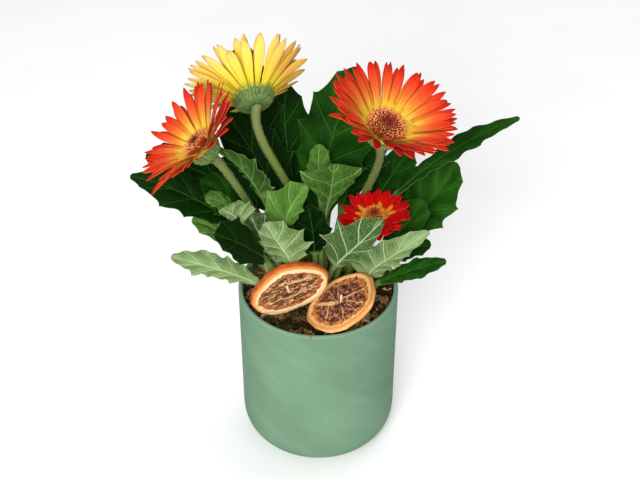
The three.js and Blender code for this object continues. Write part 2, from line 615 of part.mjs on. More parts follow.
BLOOMS.forEach((bloom, index) => {
  const spine = scapeSpine(bloom);
  holes.push(stemHole(spine.getPoint(0), wayOut(spine), SCAPE_RADIUS));
  addMesh(pottedGerbera, `${bloom.name}_scape`, scapeGeometry(bloom), "scape", 0.7);
  const head = new THREE.Group();
  head.position.set(...bloom.centre);
  head.quaternion.setFromUnitVectors(new THREE.Vector3(0, 0, 1), vector(bloom.axis).normalize());
  addMesh(head, `${bloom.name}_rays`, raysGeometry(bloom, index * 100), bloom.ray, 0.55);
  addMesh(head, `${bloom.name}_disc`, discGeometry(bloom), bloom.floret, 0.8);
  pottedGerbera.add(head);
});

for (const slice of SLICES) {
  addMesh(pottedGerbera, slice.name, sliceGeometry(slice), "rind", 0.7);
  addMesh(pottedGerbera, `${slice.name}_pick`, pickRod(slice, PICK_RADIUS, 0), "pick", 0.8);
  const foot = vector(slice.pickFoot);
  holes.push(stemHole(foot, vector(slice.pickHead).sub(foot).normalize(), PICK_RADIUS));
}

addMesh(pottedGerbera, "soil", soilGeometry(holes), "soil", 1);
addMesh(pottedGerbera, "pot", potGeometry(), "pot", 0.55);

export default pottedGerbera;
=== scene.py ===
import bpy
import math
import numpy as np
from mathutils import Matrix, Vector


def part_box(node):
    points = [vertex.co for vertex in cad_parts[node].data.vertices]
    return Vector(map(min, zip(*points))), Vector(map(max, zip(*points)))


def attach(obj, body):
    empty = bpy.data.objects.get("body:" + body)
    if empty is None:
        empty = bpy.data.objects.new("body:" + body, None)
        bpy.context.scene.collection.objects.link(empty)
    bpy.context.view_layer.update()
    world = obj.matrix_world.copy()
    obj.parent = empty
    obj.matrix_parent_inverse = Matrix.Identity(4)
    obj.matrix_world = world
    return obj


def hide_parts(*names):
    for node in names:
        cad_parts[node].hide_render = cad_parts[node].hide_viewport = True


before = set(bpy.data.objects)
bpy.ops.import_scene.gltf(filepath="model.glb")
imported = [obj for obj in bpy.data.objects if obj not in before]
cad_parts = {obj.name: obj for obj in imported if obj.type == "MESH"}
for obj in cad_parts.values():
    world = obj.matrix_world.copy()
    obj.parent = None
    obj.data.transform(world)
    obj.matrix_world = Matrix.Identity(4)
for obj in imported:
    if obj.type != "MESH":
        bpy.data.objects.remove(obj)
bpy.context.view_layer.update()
mm = 0.001

# Surface maths. Every shape is worked out in millimetres, as whole arrays.


def mix(a, b, t):  # a + (b - a) t
    return a + (b - a) * t


def ease(t):  # 3t^2 - 2t^3, with t held between 0 and 1
    t = np.clip(t, 0, 1)
    return t * t * (3 - 2 * t)


def unit(v):  # v over its own length
    return v / np.linalg.norm(v, axis=-1, keepdims=True)


def bezier(knots, t):  # the cubic through four knots at t, and its unit slope there
    a, b, c, d = (np.array(k, float) for k in knots)
    t = np.asarray(t, float)[:, None]
    s = 1 - t
    place = s**3 * a + 3 * s * s * t * b + 3 * s * t * t * c + t**3 * d
    slope = s * s * (b - a) + 2 * s * t * (c - b) + t * t * (d - c)
    return place, unit(slope)


def turned(v, axis, angle):  # v cos a + (axis x v) sin a + axis (axis . v)(1 - cos a)
    c, s = np.cos(angle)[..., None], np.sin(angle)[..., None]
    return v * c + np.cross(axis, v) * s + axis * np.sum(axis * v, -1, keepdims=True) * (1 - c)


def turnTo(axis):  # the matrix of the shortest turn that carries +Z onto the axis
    a = unit(np.array(axis, float))
    x, y = -a[1], a[0]
    k = np.array([[0, 0, y], [0, 0, -x], [-y, x, 0]])
    return np.eye(3) + k + k @ k / (1 + a[2])


def circle(count):  # that many angles, evenly round a full turn
    return np.arange(count) * 2 * np.pi / count


def flatRing(angle, radius=1.0, height=0.0):  # radius cos a, radius sin a, height
    return np.stack(np.broadcast_arrays(radius * np.cos(angle), radius * np.sin(angle), height), -1)


def spokes(side, lift, angle):  # side cos a + lift sin a, for each angle a
    return side[..., None, :] * np.cos(angle)[:, None] + lift[..., None, :] * np.sin(angle)[:, None]


def headingOf(axis, way):  # the angle round that axis at which a way lies
    ahead = turnTo(axis).T @ np.array(way)
    return math.atan2(ahead[1], ahead[0])


def rough(points, seed, size, waves=9):  # sum of sines along random directions, about one size long
    rng = np.random.default_rng(seed)
    ways = unit(rng.normal(size=(waves, points.shape[-1])))
    ways = ways * (2 * np.pi / size) * rng.uniform(0.6, 1.6, (waves, 1))
    return np.sin(points @ ways.T + rng.uniform(0, 2 * np.pi, waves)).sum(-1) / math.sqrt(waves)


# Faces over stacked rings of points.


def ringFaces(rows, sides):  # quads round a stack of closed rings
    a = np.arange((rows - 1) * sides).reshape(rows - 1, sides)
    b = np.roll(a, -1, axis=1)
    return np.stack([a, b, b + sides, a + sides], -1).reshape(-1, 4)


def ladderEnds(rows, sides):  # quads across the first and last ring of a two-sided shell
    i = np.arange(sides // 2 - 1)
    foot = np.stack([i + 1, i, sides - 1 - i, sides - 2 - i], -1)
    return np.concatenate([foot, foot[:, ::-1] + (rows - 1) * sides])


def fanEnds(rows, sides):  # triangles across the first and last ring of a round stack
    i = np.arange(1, sides - 1)
    foot = np.stack([i * 0, i + 1, i], -1)
    return np.concatenate([foot, foot[:, ::-1] + (rows - 1) * sides])


def copied(faces, count, size):  # the same faces for each copy, size points apart
    return (faces[None] + np.arange(count)[:, None, None] * size).reshape(-1, faces.shape[-1])


def stackFaces(rows, sides, count=1, after=0, paint=0):  # wall and both ends of count round stacks
    parts = ringFaces(rows, sides), fanEnds(rows, sides)
    return [(copied(part, count, rows * sides) + after, paint) for part in parts]


def shellFaces(rows, sides, count=1):  # upper side and ends in paint 0, lower side in paint 1
    rings = ringFaces(rows, sides).reshape(rows - 1, sides, 4)
    upper = np.concatenate([rings[:, : sides // 2].reshape(-1, 4), ladderEnds(rows, sides)])
    lower = rings[:, sides // 2:].reshape(-1, 4)
    return [(copied(part, count, rows * sides), paint) for paint, part in enumerate((upper, lower))]


def shellRings(upper, lower):  # each ring runs out along the upper side and back along the lower one
    return np.concatenate([upper, lower[..., ::-1, :]], -2)


def shellValues(values, grid):  # one value for each point of such rings
    values = values + 0 * grid
    return np.concatenate([values, values[..., ::-1]], -1)


def flipIfInside(points, faceSets):  # reverses every face when the enclosed volume comes out below 0
    volume = 0
    for faces, _ in faceSets:
        for i in range(1, faces.shape[1] - 1):
            a, b, c = points[faces[:, 0]], points[faces[:, i]], points[faces[:, i + 1]]
            volume += np.sum(a * np.cross(b, c))
    return [(faces[:, ::-1], paint) if volume < 0 else (faces, paint) for faces, paint in faceSets]


def makePiece(name, points, faceSets, paints, node=None, layers=None, marks=None, smooth=True):
    # a mesh of points in mm and sets of (faces, paint number), riding on the part's one body
    points = np.asarray(points, float).reshape(-1, 3)
    faceSets = flipIfInside(points, faceSets)
    sizes = np.concatenate([np.full(len(faces), faces.shape[1]) for faces, _ in faceSets])
    corners = np.concatenate([faces.ravel() for faces, _ in faceSets])
    mesh = bpy.data.meshes.new(name)
    mesh.vertices.add(len(points))
    mesh.vertices.foreach_set("co", (points * mm).ravel())
    mesh.loops.add(len(corners))
    mesh.loops.foreach_set("vertex_index", corners.astype(np.int32))
    mesh.polygons.add(len(sizes))
    mesh.polygons.foreach_set("loop_start", (np.cumsum(sizes) - sizes).astype(np.int32))
    mesh.polygons.foreach_set("material_index", np.concatenate([np.full(len(f), p) for f, p in faceSets]))
    mesh.polygons.foreach_set("use_smooth", np.full(len(sizes), smooth))
    for layer, place in (layers or {}).items():
        flat = np.asarray(place, float).reshape(-1, 2)[corners]
        mesh.uv_layers.new(name=layer).data.foreach_set("uv", flat.ravel())
    for mark, values in (marks or {}).items():
        attribute = mesh.attributes.new(mark, "FLOAT", "POINT")
        attribute.data.foreach_set("value", np.asarray(values, np.float32).ravel())
    mesh.update(calc_edges=True)
    mesh.validate()
    piece = bpy.data.objects.new(name, mesh)
    bpy.context.scene.collection.objects.link(piece)
    for paint in paints:
        mesh.materials.append(paint.material)
    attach(piece, "root")
    if node:
        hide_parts(node)
    return piece


# Finishes.


def rgb(red, green, blue):  # a screen colour from 0 to 255 as scene light
    c = np.array([red, green, blue]) / 255
    return (*np.where(c <= 0.04045, c / 12.92, ((c + 0.055) / 1.055) ** 2.4), 1.0)


class Paint:  # a node material, built up by short calls
    def __init__(self, name, **sockets):
        self.material = bpy.data.materials.new(name)
        self.material.use_nodes = True
        self.tree = self.material.node_tree
        self.shader = self.tree.nodes["Principled BSDF"]
        for socket, value in sockets.items():
            self.shader.inputs[socket.replace("_", " ")].default_value = value

    def add(self, kind, inputs, output=0, **settings):
        node = self.tree.nodes.new("ShaderNode" + kind)
        for key, value in settings.items():
            setattr(node, key, value)
        for key, value in inputs.items():
            if isinstance(value, bpy.types.NodeSocket):
                self.tree.links.new(value, node.inputs[key])
            else:
                node.inputs[key].default_value = value
        return node.outputs[output]

    def math(self, operation, *values):
        return self.add("Math", dict(enumerate(values)), operation=operation)

    def times(self, a, b):
        return self.math("MULTIPLY", a, b)

    def plus(self, a, b):
        return self.math("ADD", a, b)

    def less(self, a, b):
        return self.math("SUBTRACT", a, b)

    def scaled(self, a, factor, shift):  # a times factor, plus shift
        return self.math("MULTIPLY_ADD", a, factor, shift)

    def rest(self, a):  # what a leaves of 1
        return self.math("SUBTRACT", 1.0, a)

    def blend(self, share, a, b):
        return self.add("Mix", {0: share, 6: a, 7: b}, output=2, data_type="RGBA")

    def tint(self, base, mask, share, colour):  # base turned towards a colour by mask times share
        return self.blend(self.times(mask, share), base, rgb(*colour))

    def step(self, value, low, high):  # 0 below low to 1 above high, eased
        inputs = {"Value": value, "From Min": low, "From Max": high}
        return self.add("MapRange", inputs, interpolation_type="SMOOTHSTEP")

    def ramp(self, share, stops):
        output = self.add("ValToRGB", {"Fac": share})
        elements = output.node.color_ramp.elements
        for place, _ in stops[2:]:
            elements.new(place)
        for element, (place, _) in zip(elements, stops):
            element.position = place
        for element, (place, colour) in zip(elements, stops):
            element.color = rgb(*colour)
        return output

    def noise(self, vector, scale, detail=3.0):
        return self.add("TexNoise", {"Vector": vector, "Scale": scale, "Detail": detail})

    def cells(self, vector, scale, feature="F1", output=0):
        return self.add("TexVoronoi", {"Vector": vector, "Scale": scale}, output=output, feature=feature)

    def uv(self, name):
        return self.add("UVMap", {}, uv_map=name)

    def mark(self, name):
        return self.add("Attribute", {}, output=2, attribute_name=name)

    def place(self):
        return self.add("TexCoord", {}, output=3)

    def split(self, vector):  # its x, y and z
        return self.add("SeparateXYZ", {0: vector}).node.outputs

    def join(self, x, y, z=0.0):
        return self.add("CombineXYZ", {0: x, 1: y, 2: z})

    def colour(self, socket):
        self.tree.links.new(socket, self.shader.inputs["Base Color"])

    def roughness(self, socket):
        self.tree.links.new(socket, self.shader.inputs["Roughness"])

    def relief(self, height, depth):  # bump of that depth in metres
        normal = self.add("Bump", {"Height": height, "Distance": depth})
        self.tree.links.new(normal, self.shader.inputs["Normal"])


# View, floor and light. The eye is in mm and its tilt in degrees; the floor and the lamps are in metres.
stageForm = {
    "lens": 67.5, "eye": (1.5, -808.4, 834.3), "tilt": 52.28,
    "floor": (247, 247, 247), "floorLight": (250, 250, 250), "floorSize": 6.0, "cloud": 9.0, "sky": 0.44,
    "lamps": (((-0.35, -1.75, 1.35), 1.1, 50.0), ((0.3, 0.9, 2.1), 1.8, 20.0)),  # place, size, watts
    "aim": (0.0, 0.0, 0.2),
}


def makeStage(form):
    scene = bpy.context.scene
    scene.view_settings.view_transform = "Standard"
    camera = bpy.data.objects.new("camera", bpy.data.cameras.new("camera"))
    camera.data.lens = form["lens"]
    camera.location = [x * mm for x in form["eye"]]
    camera.rotation_euler = (math.radians(form["tilt"]), 0, 0)
    scene.collection.objects.link(camera)
    scene.camera = camera
    half = form["floorSize"] / 2
    mesh = bpy.data.meshes.new("floor")
    corners = [(-half, -half, 0), (half, -half, 0), (half, half, 0), (-half, half, 0)]
    mesh.from_pydata(corners, [], [(0, 1, 2, 3)])
    floor = bpy.data.objects.new("floor", mesh)
    scene.collection.objects.link(floor)
    paint = Paint("floorPaint", Roughness=0.9)
    cloud = paint.noise(paint.place(), form["cloud"])
    paint.colour(paint.ramp(cloud, [(0.3, form["floor"]), (0.7, form["floorLight"])]))
    mesh.materials.append(paint.material)
    for number, (place, size, power) in enumerate(form["lamps"]):
        lamp = bpy.data.objects.new(f"lamp{number}", bpy.data.lights.new(f"lamp{number}", "AREA"))
        lamp.data.size = size
        lamp.data.energy = power
        lamp.location = place
        away = unit(np.array(place) - np.array(form["aim"]))
        lamp.rotation_euler = (math.acos(away[2]), 0, math.atan2(away[0], -away[1]))
        scene.collection.objects.link(lamp)
    world = bpy.data.worlds.new("sky")
    world.use_nodes = True
    sky = world.node_tree.nodes["Background"].inputs
    sky["Color"].default_value = (1, 1, 1, 1)
    sky["Strength"].default_value = form["sky"]
    scene.world = world


makeStage(stageForm)
print("stage ready")

# Pot: the profile of base, full foot corner, upright wall, round lip and cavity, turned about +Z.
potForm = {
    "wall": 4.0, "floor": 6.0, "corner": 28.0, "fullness": 2.5, "inset": 4.0, "middle": 20.0, "sides": 180,
    "cornerSteps": 26, "wallSteps": 40, "lipSteps": 13, "wheelMarks": 0.04, "marksPerMm": (1.9, 0.31),
    "markedRows": 62,
    # rim is the lighter colour of a painted highlight along the top of the lip
    "glaze": (110, 142, 116), "glazeDeep": (98, 129, 104), "rim": (132, 166, 138), "rimHighlightDrop": (2.2, 0.6),
    "speck": (160, 190, 164), "scratch": (138, 170, 144),
}


def footCorner(size, fullness, share):  # size sin^(2/p), size (1 - cos^(2/p)) of a quarter turn
    angle = share * np.pi / 2
    power = 2 / fullness
    return size * np.sin(angle) ** power, size * (1 - np.abs(np.cos(angle)) ** power)


def potProfile(form, radius, height):
    # base and foot corner, wall, a half-round lip, then the cavity's corner back to its floor
    share = np.linspace(0.04, 1, form["cornerSteps"])
    flat = radius - form["corner"]
    out, up = footCorner(form["corner"], form["fullness"], share)
    foot = np.stack([flat + out, up], -1)
    rise = np.linspace(form["corner"] + form["inset"], height - form["inset"], form["wallSteps"])
    wall = np.stack([rise * 0 + radius, rise], -1)
    lip = form["wall"] / 2
    turn = np.linspace(0, np.pi, form["lipSteps"])
    rim = np.stack([radius - lip + lip * np.cos(turn), height - lip + lip * np.sin(turn)], -1)
    out, up = footCorner(form["corner"] - form["wall"], form["fullness"], share[::-1])
    inner = np.stack([flat + out, form["floor"] + up], -1)
    return np.concatenate([[[form["middle"], 0], [flat, 0]], foot, wall, rim, inner,
                           [[form["middle"], form["floor"]]]])


def makePot(form):
    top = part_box("pot")[1]
    profile = potProfile(form, top.x / mm, top.z / mm)
    turn = np.linspace(0, 2 * np.pi, form["sides"], endpoint=False)
    far, high = profile.T
    outside = (np.arange(len(profile)) < form["markedRows"]) & (high > 1)
    fine, broad = form["marksPerMm"]
    marks = form["wheelMarks"] * np.sin(high * fine) * np.sin(high * broad) * outside
    points = flatRing(turn, (far + marks)[:, None], high[:, None])
    faces = stackFaces(len(profile), form["sides"])
    makePiece("sagePot", points, faces, [glazePaint(form, top.z / mm)], node="pot")


def glazePaint(form, rimHeight):
    # matt glaze: soft clouds, fine pale scratches that fall to the right, small specks, and a painted
    # highlight along the top of the rim
    paint = Paint("sageGlaze", Roughness=0.66, Specular_IOR_Level=0.05)
    place = paint.place()
    x, y, z = paint.split(place)[:3]
    along = paint.plus(paint.times(x, 0.8), paint.times(z, -0.6))
    across = paint.plus(paint.times(x, 0.6), paint.times(z, 0.8))

    def strokes(length, fineness, seed):  # noise drawn out along the fall of the scratches
        parts = [paint.times(v, k) for v, k in ((along, length), (across, fineness), (y, 20.0))]
        return paint.noise(paint.add("VectorMath", {0: paint.join(*parts), 1: (seed, seed, 0)}), 1.0, 4.0)

    cloud = paint.noise(place, 16.0, 4.0)
    broad = strokes(7.0, 60.0, 0.0)
    tone = paint.plus(paint.times(broad, 0.45), paint.times(cloud, 0.55))
    base = paint.ramp(tone, [(0.36, form["glazeDeep"]), (0.62, form["glaze"])])
    fine = paint.step(strokes(14.0, 420.0, 7.0), 0.6, 0.72)
    base = paint.tint(base, fine, 0.14, form["scratch"])
    spot = paint.cells(place, 240.0)
    chosen = paint.step(paint.split(paint.cells(place, 240.0, output=1))[0], 0.8, 0.82)
    specks = paint.times(paint.rest(paint.step(spot, 0.05, 0.14)), chosen)
    base = paint.tint(base, specks, 0.6, form["speck"])
    # painted highlight: the top of the rim is turned towards the rim colour
    low, high = ((rimHeight - drop) * mm for drop in form["rimHighlightDrop"])
    paint.colour(paint.tint(base, paint.step(z, low, high), 0.35, form["rim"]))
    grain = paint.noise(place, 900.0, 2.0)
    paint.relief(paint.plus(paint.times(fine, 0.12), paint.times(grain, 0.4)), 0.0002)
    return paint


makePot(potForm)
print("pot ready")

# Soil: a bumpy top banked to the right, over a filling that follows the pot's cavity.
soilForm = {
    "level": 153.0, "bump": 1.6, "bank": 6.0, "sides": 200, "rings": 64, "grit": 0.9,
    "grains": ((0.5, 1, 9.0, 9), (0.35, 2, 3.6, 14), (0.15, 3, 1.7, 20)),  # share, seed, size and waves
    "depth": (150.0, 120.0, 60.0, 34.0, 20.0, 12.0, 8.0), "inset": (0.0, 0.0, 0.0, 0.0, 3.0, 9.0, 18.0),
}


def soilHeight(form, x, y):  # level + bump of crossed sines + bank eased in over x and y
    bumps = np.sin(x * 0.21 + 1.3) * np.cos(y * 0.19) + 0.6 * np.sin(x * 0.43 - y * 0.37)
    bank = ease((x - 28) / 34) * ease((y + 58) / 53)
    return form["level"] + form["bump"] * bumps + form["bank"] * bank


def makeSoil(form):
    # top at (r cos a, r sin a, soilHeight + grit), then rings down the wall, drawn in over the foot
    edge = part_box("soil")[1].x / mm
    turn = np.linspace(0, 2 * np.pi, form["sides"], endpoint=False)
    reach = np.linspace(0.02, 1, form["rings"])[:, None] * edge
    x, y = reach * np.cos(turn), reach * np.sin(turn)
    flat = np.stack([x, y], -1)
    grit = sum(share * rough(flat, seed, size, waves) for share, seed, size, waves in form["grains"])
    top = np.stack([x, y, soilHeight(form, x, y) + form["grit"] * grit], -1)
    depth, inset = (np.array(form[key])[:, None] for key in ("depth", "inset"))
    points = np.concatenate([top, flatRing(turn, edge - inset, depth)])
    faces = stackFaces(len(points), form["sides"])
    makePiece("soilFilling", points, faces, [soilPaint()], node="soil")


def soilPaint():
    paint = Paint("darkSoil", Roughness=0.95, Specular_IOR_Level=0.1)
    place = paint.place()
    crumbs = paint.noise(place, 420.0, 5.0)
    clods = paint.cells(place, 260.0)
    tone = paint.plus(paint.times(crumbs, 0.7), paint.times(clods, 0.4))
    paint.colour(paint.ramp(tone, [(0.38, (10, 7, 2)), (0.54, (42, 31, 13)), (0.7, (126, 100, 60))]))
    paint.relief(tone, 0.0012)
    return paint


def scatter(rng, count, reach, middle=(0, 0)):  # even over a disc: reach times the root of a random share
    turn = rng.uniform(0, 2 * np.pi, count)
    far = reach * np.sqrt(rng.uniform(0, 1, count))
    return middle[0] + far * np.cos(turn), middle[1] + far * np.sin(turn)


def kept(x, y, within):  # drawn in to that reach from the pot's axis
    far = np.maximum(1, np.hypot(x, y) / within)
    return x / far, y / far


def randomTurns(rng, count, tip):  # random turn about +Z after a tip of up to tip radians
    turn, lean, way = (rng.uniform(0, most, count) for most in (2 * np.pi, tip, 2 * np.pi))
    z = np.zeros((count, 3)) + (0, 0, 1)
    x, y = flatRing(turn), np.stack([-np.sin(turn), np.cos(turn), 0 * turn], -1)
    return np.stack([turned(v, flatRing(way), lean) for v in (x, y, z)], 1)


chipForm = {  # in mm; every third chip falls at the spot, given by its reach and middle
    "count": 520, "sides": 6, "seed": 11, "reach": 59, "spot": (19, (48, -16)), "within": 62,
    "level": (-1, -0.7, 0.7, 1), "wide": (0.55, 1, 1, 0.6), "jitter": 0.14, "tip": 0.7,
    "long": (1.5, 5.6), "stretch": (1, 1, 1, 1.5), "width": (0.3, 0.7), "thick": (0.4, 1.2),
    "lift": (-0.3, 1.1),
}


def makeChips(form, soil):
    # bark chips: hexagonal lumps (wide cos a, wide sin a, level) times (1 + jitter), scaled and turned
    rng = np.random.default_rng(form["seed"])
    count, sides = form["count"], form["sides"]
    wide, level = (np.array(form[key])[:, None] for key in ("wide", "level"))
    lump = flatRing(circle(sides), wide, level).reshape(1, -1, 3)
    corners = lump.shape[1]
    lumps = lump * (1 + rng.normal(0, form["jitter"], (count, corners, 1)))
    long = rng.uniform(*form["long"], count) * rng.choice(form["stretch"], count)
    width = long * rng.uniform(*form["width"], count)
    size = np.stack([long, width, rng.uniform(*form["thick"], count)], -1)
    lumps = np.einsum("nki,nij->nkj", lumps * size[:, None], randomTurns(rng, count, form["tip"]))
    x, y = scatter(rng, count, form["reach"])
    near = np.arange(count) % 3 == 0
    rightX, rightY = kept(*scatter(rng, count, *form["spot"]), form["within"])
    x, y = np.where(near, rightX, x), np.where(near, rightY, y)
    lift = rng.uniform(*form["lift"], count) * (1 + 2 * near)
    feet = np.stack([x, y, soilHeight(soil, x, y) + lift], -1)
    luck = np.repeat(rng.uniform(0, 1, count), corners)
    paint = Paint("barkBrown", Roughness=0.85, Specular_IOR_Level=0.1)
    luckShare = paint.times(paint.mark("luck"), 0.75)
    tone = paint.plus(luckShare, paint.times(paint.noise(paint.place(), 600.0), 0.3))
    browns = (10, 6, 2), (46, 31, 14), (134, 102, 62), (214, 180, 130)
    paint.colour(paint.ramp(tone, list(zip((0.1, 0.45, 0.75, 1), browns))))
    paint.relief(paint.noise(paint.place(), 1500.0), 0.0005)
    makePiece("barkChips", lumps + feet[:, None], stackFaces(len(level), sides, count), [paint],
              marks={"luck": luck}, smooth=False)


def tubes(paths, radii, sides):  # rings of a thin tube along each of many open paths
    along = unit(np.gradient(paths, axis=1))
    side = unit(np.cross(along, (0.13, 0.21, 0.97)))
    spoke = spokes(side, np.cross(along, side), circle(sides))
    return paths[:, :, None] + spoke * radii[..., None, None]


fibreForm = {  # in mm; every second fibre lies at the spot, given by its reach and middle
    "count": 340, "steps": 12, "sides": 4, "seed": 12, "reach": 52, "spot": (22, (44, -12)), "within": 62,
    "long": (8, 26), "sway": (-6, 6), "arch": (0.2, 2.6), "clear": 0.5, "radius": (0.14, 0.34), "taper": 0.6,
    "stray": ((-3, -60, 156), (-5, -67, 163), (-7, -72, 163), (-7, -71.4, 159)),  # over the front rim
    "strayRadius": 0.55, "strayLuck": 0.9,
}


def makeFibres(form, soil):
    # coir: hairs along (t - 1/2) long, sideways sway sin(pi t), raised by arch sin(pi t) off the soil
    rng = np.random.default_rng(form["seed"])
    count, steps, sides = form["count"], form["steps"], form["sides"]
    share = np.linspace(0, 1, steps)
    x, y = scatter(rng, count, form["reach"])
    near = np.arange(count) % 2 == 0
    rightX, rightY = scatter(rng, count, *form["spot"])
    x, y = np.where(near, rightX, x), np.where(near, rightY, y)
    ranges = (0, 2 * np.pi), form["long"], form["sway"]
    way, long, sway = (rng.uniform(*ends, count)[:, None] for ends in ranges)
    ahead, aside = long * (share - 0.5), sway * np.sin(np.pi * share)
    px = x[:, None] + ahead * np.cos(way) - aside * np.sin(way)
    py = y[:, None] + ahead * np.sin(way) + aside * np.cos(way)
    px, py = kept(px, py, form["within"])
    rise = rng.uniform(*form["arch"], count)[:, None] * np.sin(np.pi * share) + form["clear"]
    paths = np.stack([px, py, soilHeight(soil, px, py) + rise], -1)
    paths[0], _ = bezier(form["stray"], share)
    radii = rng.uniform(*form["radius"], (count, 1)) * (1 - form["taper"] * share)
    radii[0] = form["strayRadius"]
    luck = rng.uniform(0, 1, count)
    luck[0] = form["strayLuck"]
    paint = Paint("coirBrown", Roughness=0.8)
    browns = (56, 32, 17), (112, 70, 40), (172, 126, 80)
    paint.colour(paint.ramp(paint.mark("luck"), list(zip((0.0, 0.6, 1.0), browns))))
    makePiece("coirFibres", tubes(paths, radii, sides), stackFaces(steps, sides, count), [paint],
              marks={"luck": np.repeat(luck, steps * sides)})


def spikes(feet, ways, radius, bend):
    # a three-sided spike from each foot, through a ring at foot + 0.55 way + 0.4 bend, to foot + way + bend
    side = unit(np.cross(ways, (0.31, 0.17, 0.93)))
    spoke = spokes(side, unit(np.cross(ways, side)), circle(3)) * np.asarray(radius)[:, None, None]
    middle = feet[:, None] + 0.55 * ways[:, None] + bend[:, None] * 0.4 + spoke * 0.7
    points = np.concatenate([feet[:, None] + spoke, middle, (feet + ways + bend)[:, None]], 1)
    i = np.arange(3)
    j = (i + 1) % 3
    walls = np.stack([i, j, j + 3, i + 3], -1)
    caps = np.concatenate([np.stack([i + 3, j + 3, i * 0 + 6], -1), [[0, 2, 1]]])
    return points, [(copied(part, *points.shape[:2]), 0) for part in (walls, caps)]


mossForm = {
    "tufts": 90, "blades": 22, "seed": 13, "spot": (22, (-34, -34)), "within": 58, "spread": 1.3,
    "lift": 0.1, "upward": 1.3, "long": (1.0, 3.0), "radius": (0.18, 0.36), "bend": 0.4,
}


def makeMoss(form, soil):  # tufts of short green spikes, most of them at the front left
    rng = np.random.default_rng(form["seed"])
    count, blades = form["tufts"], form["blades"]
    x, y = kept(*scatter(rng, count, *form["spot"]), form["within"])
    x, y = (np.repeat(v, blades) + rng.normal(0, form["spread"], count * blades) for v in (x, y))
    feet = np.stack([x, y, soilHeight(soil, x, y) + form["lift"]], -1)
    ways = unit(rng.normal(0, 1, feet.shape) + (0, 0, form["upward"]))
    ways = ways * rng.uniform(*form["long"], (len(feet), 1))
    ways[:, 2] = np.abs(ways[:, 2])
    radius = rng.uniform(*form["radius"], len(feet))
    points, faces = spikes(feet, ways, radius, rng.normal(0, form["bend"], feet.shape))
    paint = Paint("mossGreen", Roughness=0.8, Specular_IOR_Level=0.1)
    greens = (26, 32, 8), (58, 64, 20), (112, 108, 48)
    paint.colour(paint.ramp(paint.mark("luck"), list(zip((0.0, 0.6, 1.0), greens))))
    luck = np.repeat(rng.uniform(0, 1, len(feet)), points.shape[1])
    makePiece("mossTufts", points, faces, [paint], marks={"luck": luck})


makeSoil(soilForm)
makeChips(chipForm, soilForm)
makeFibres(fibreForm, soilForm)
makeMoss(mossForm, soilForm)
print("soil ready")

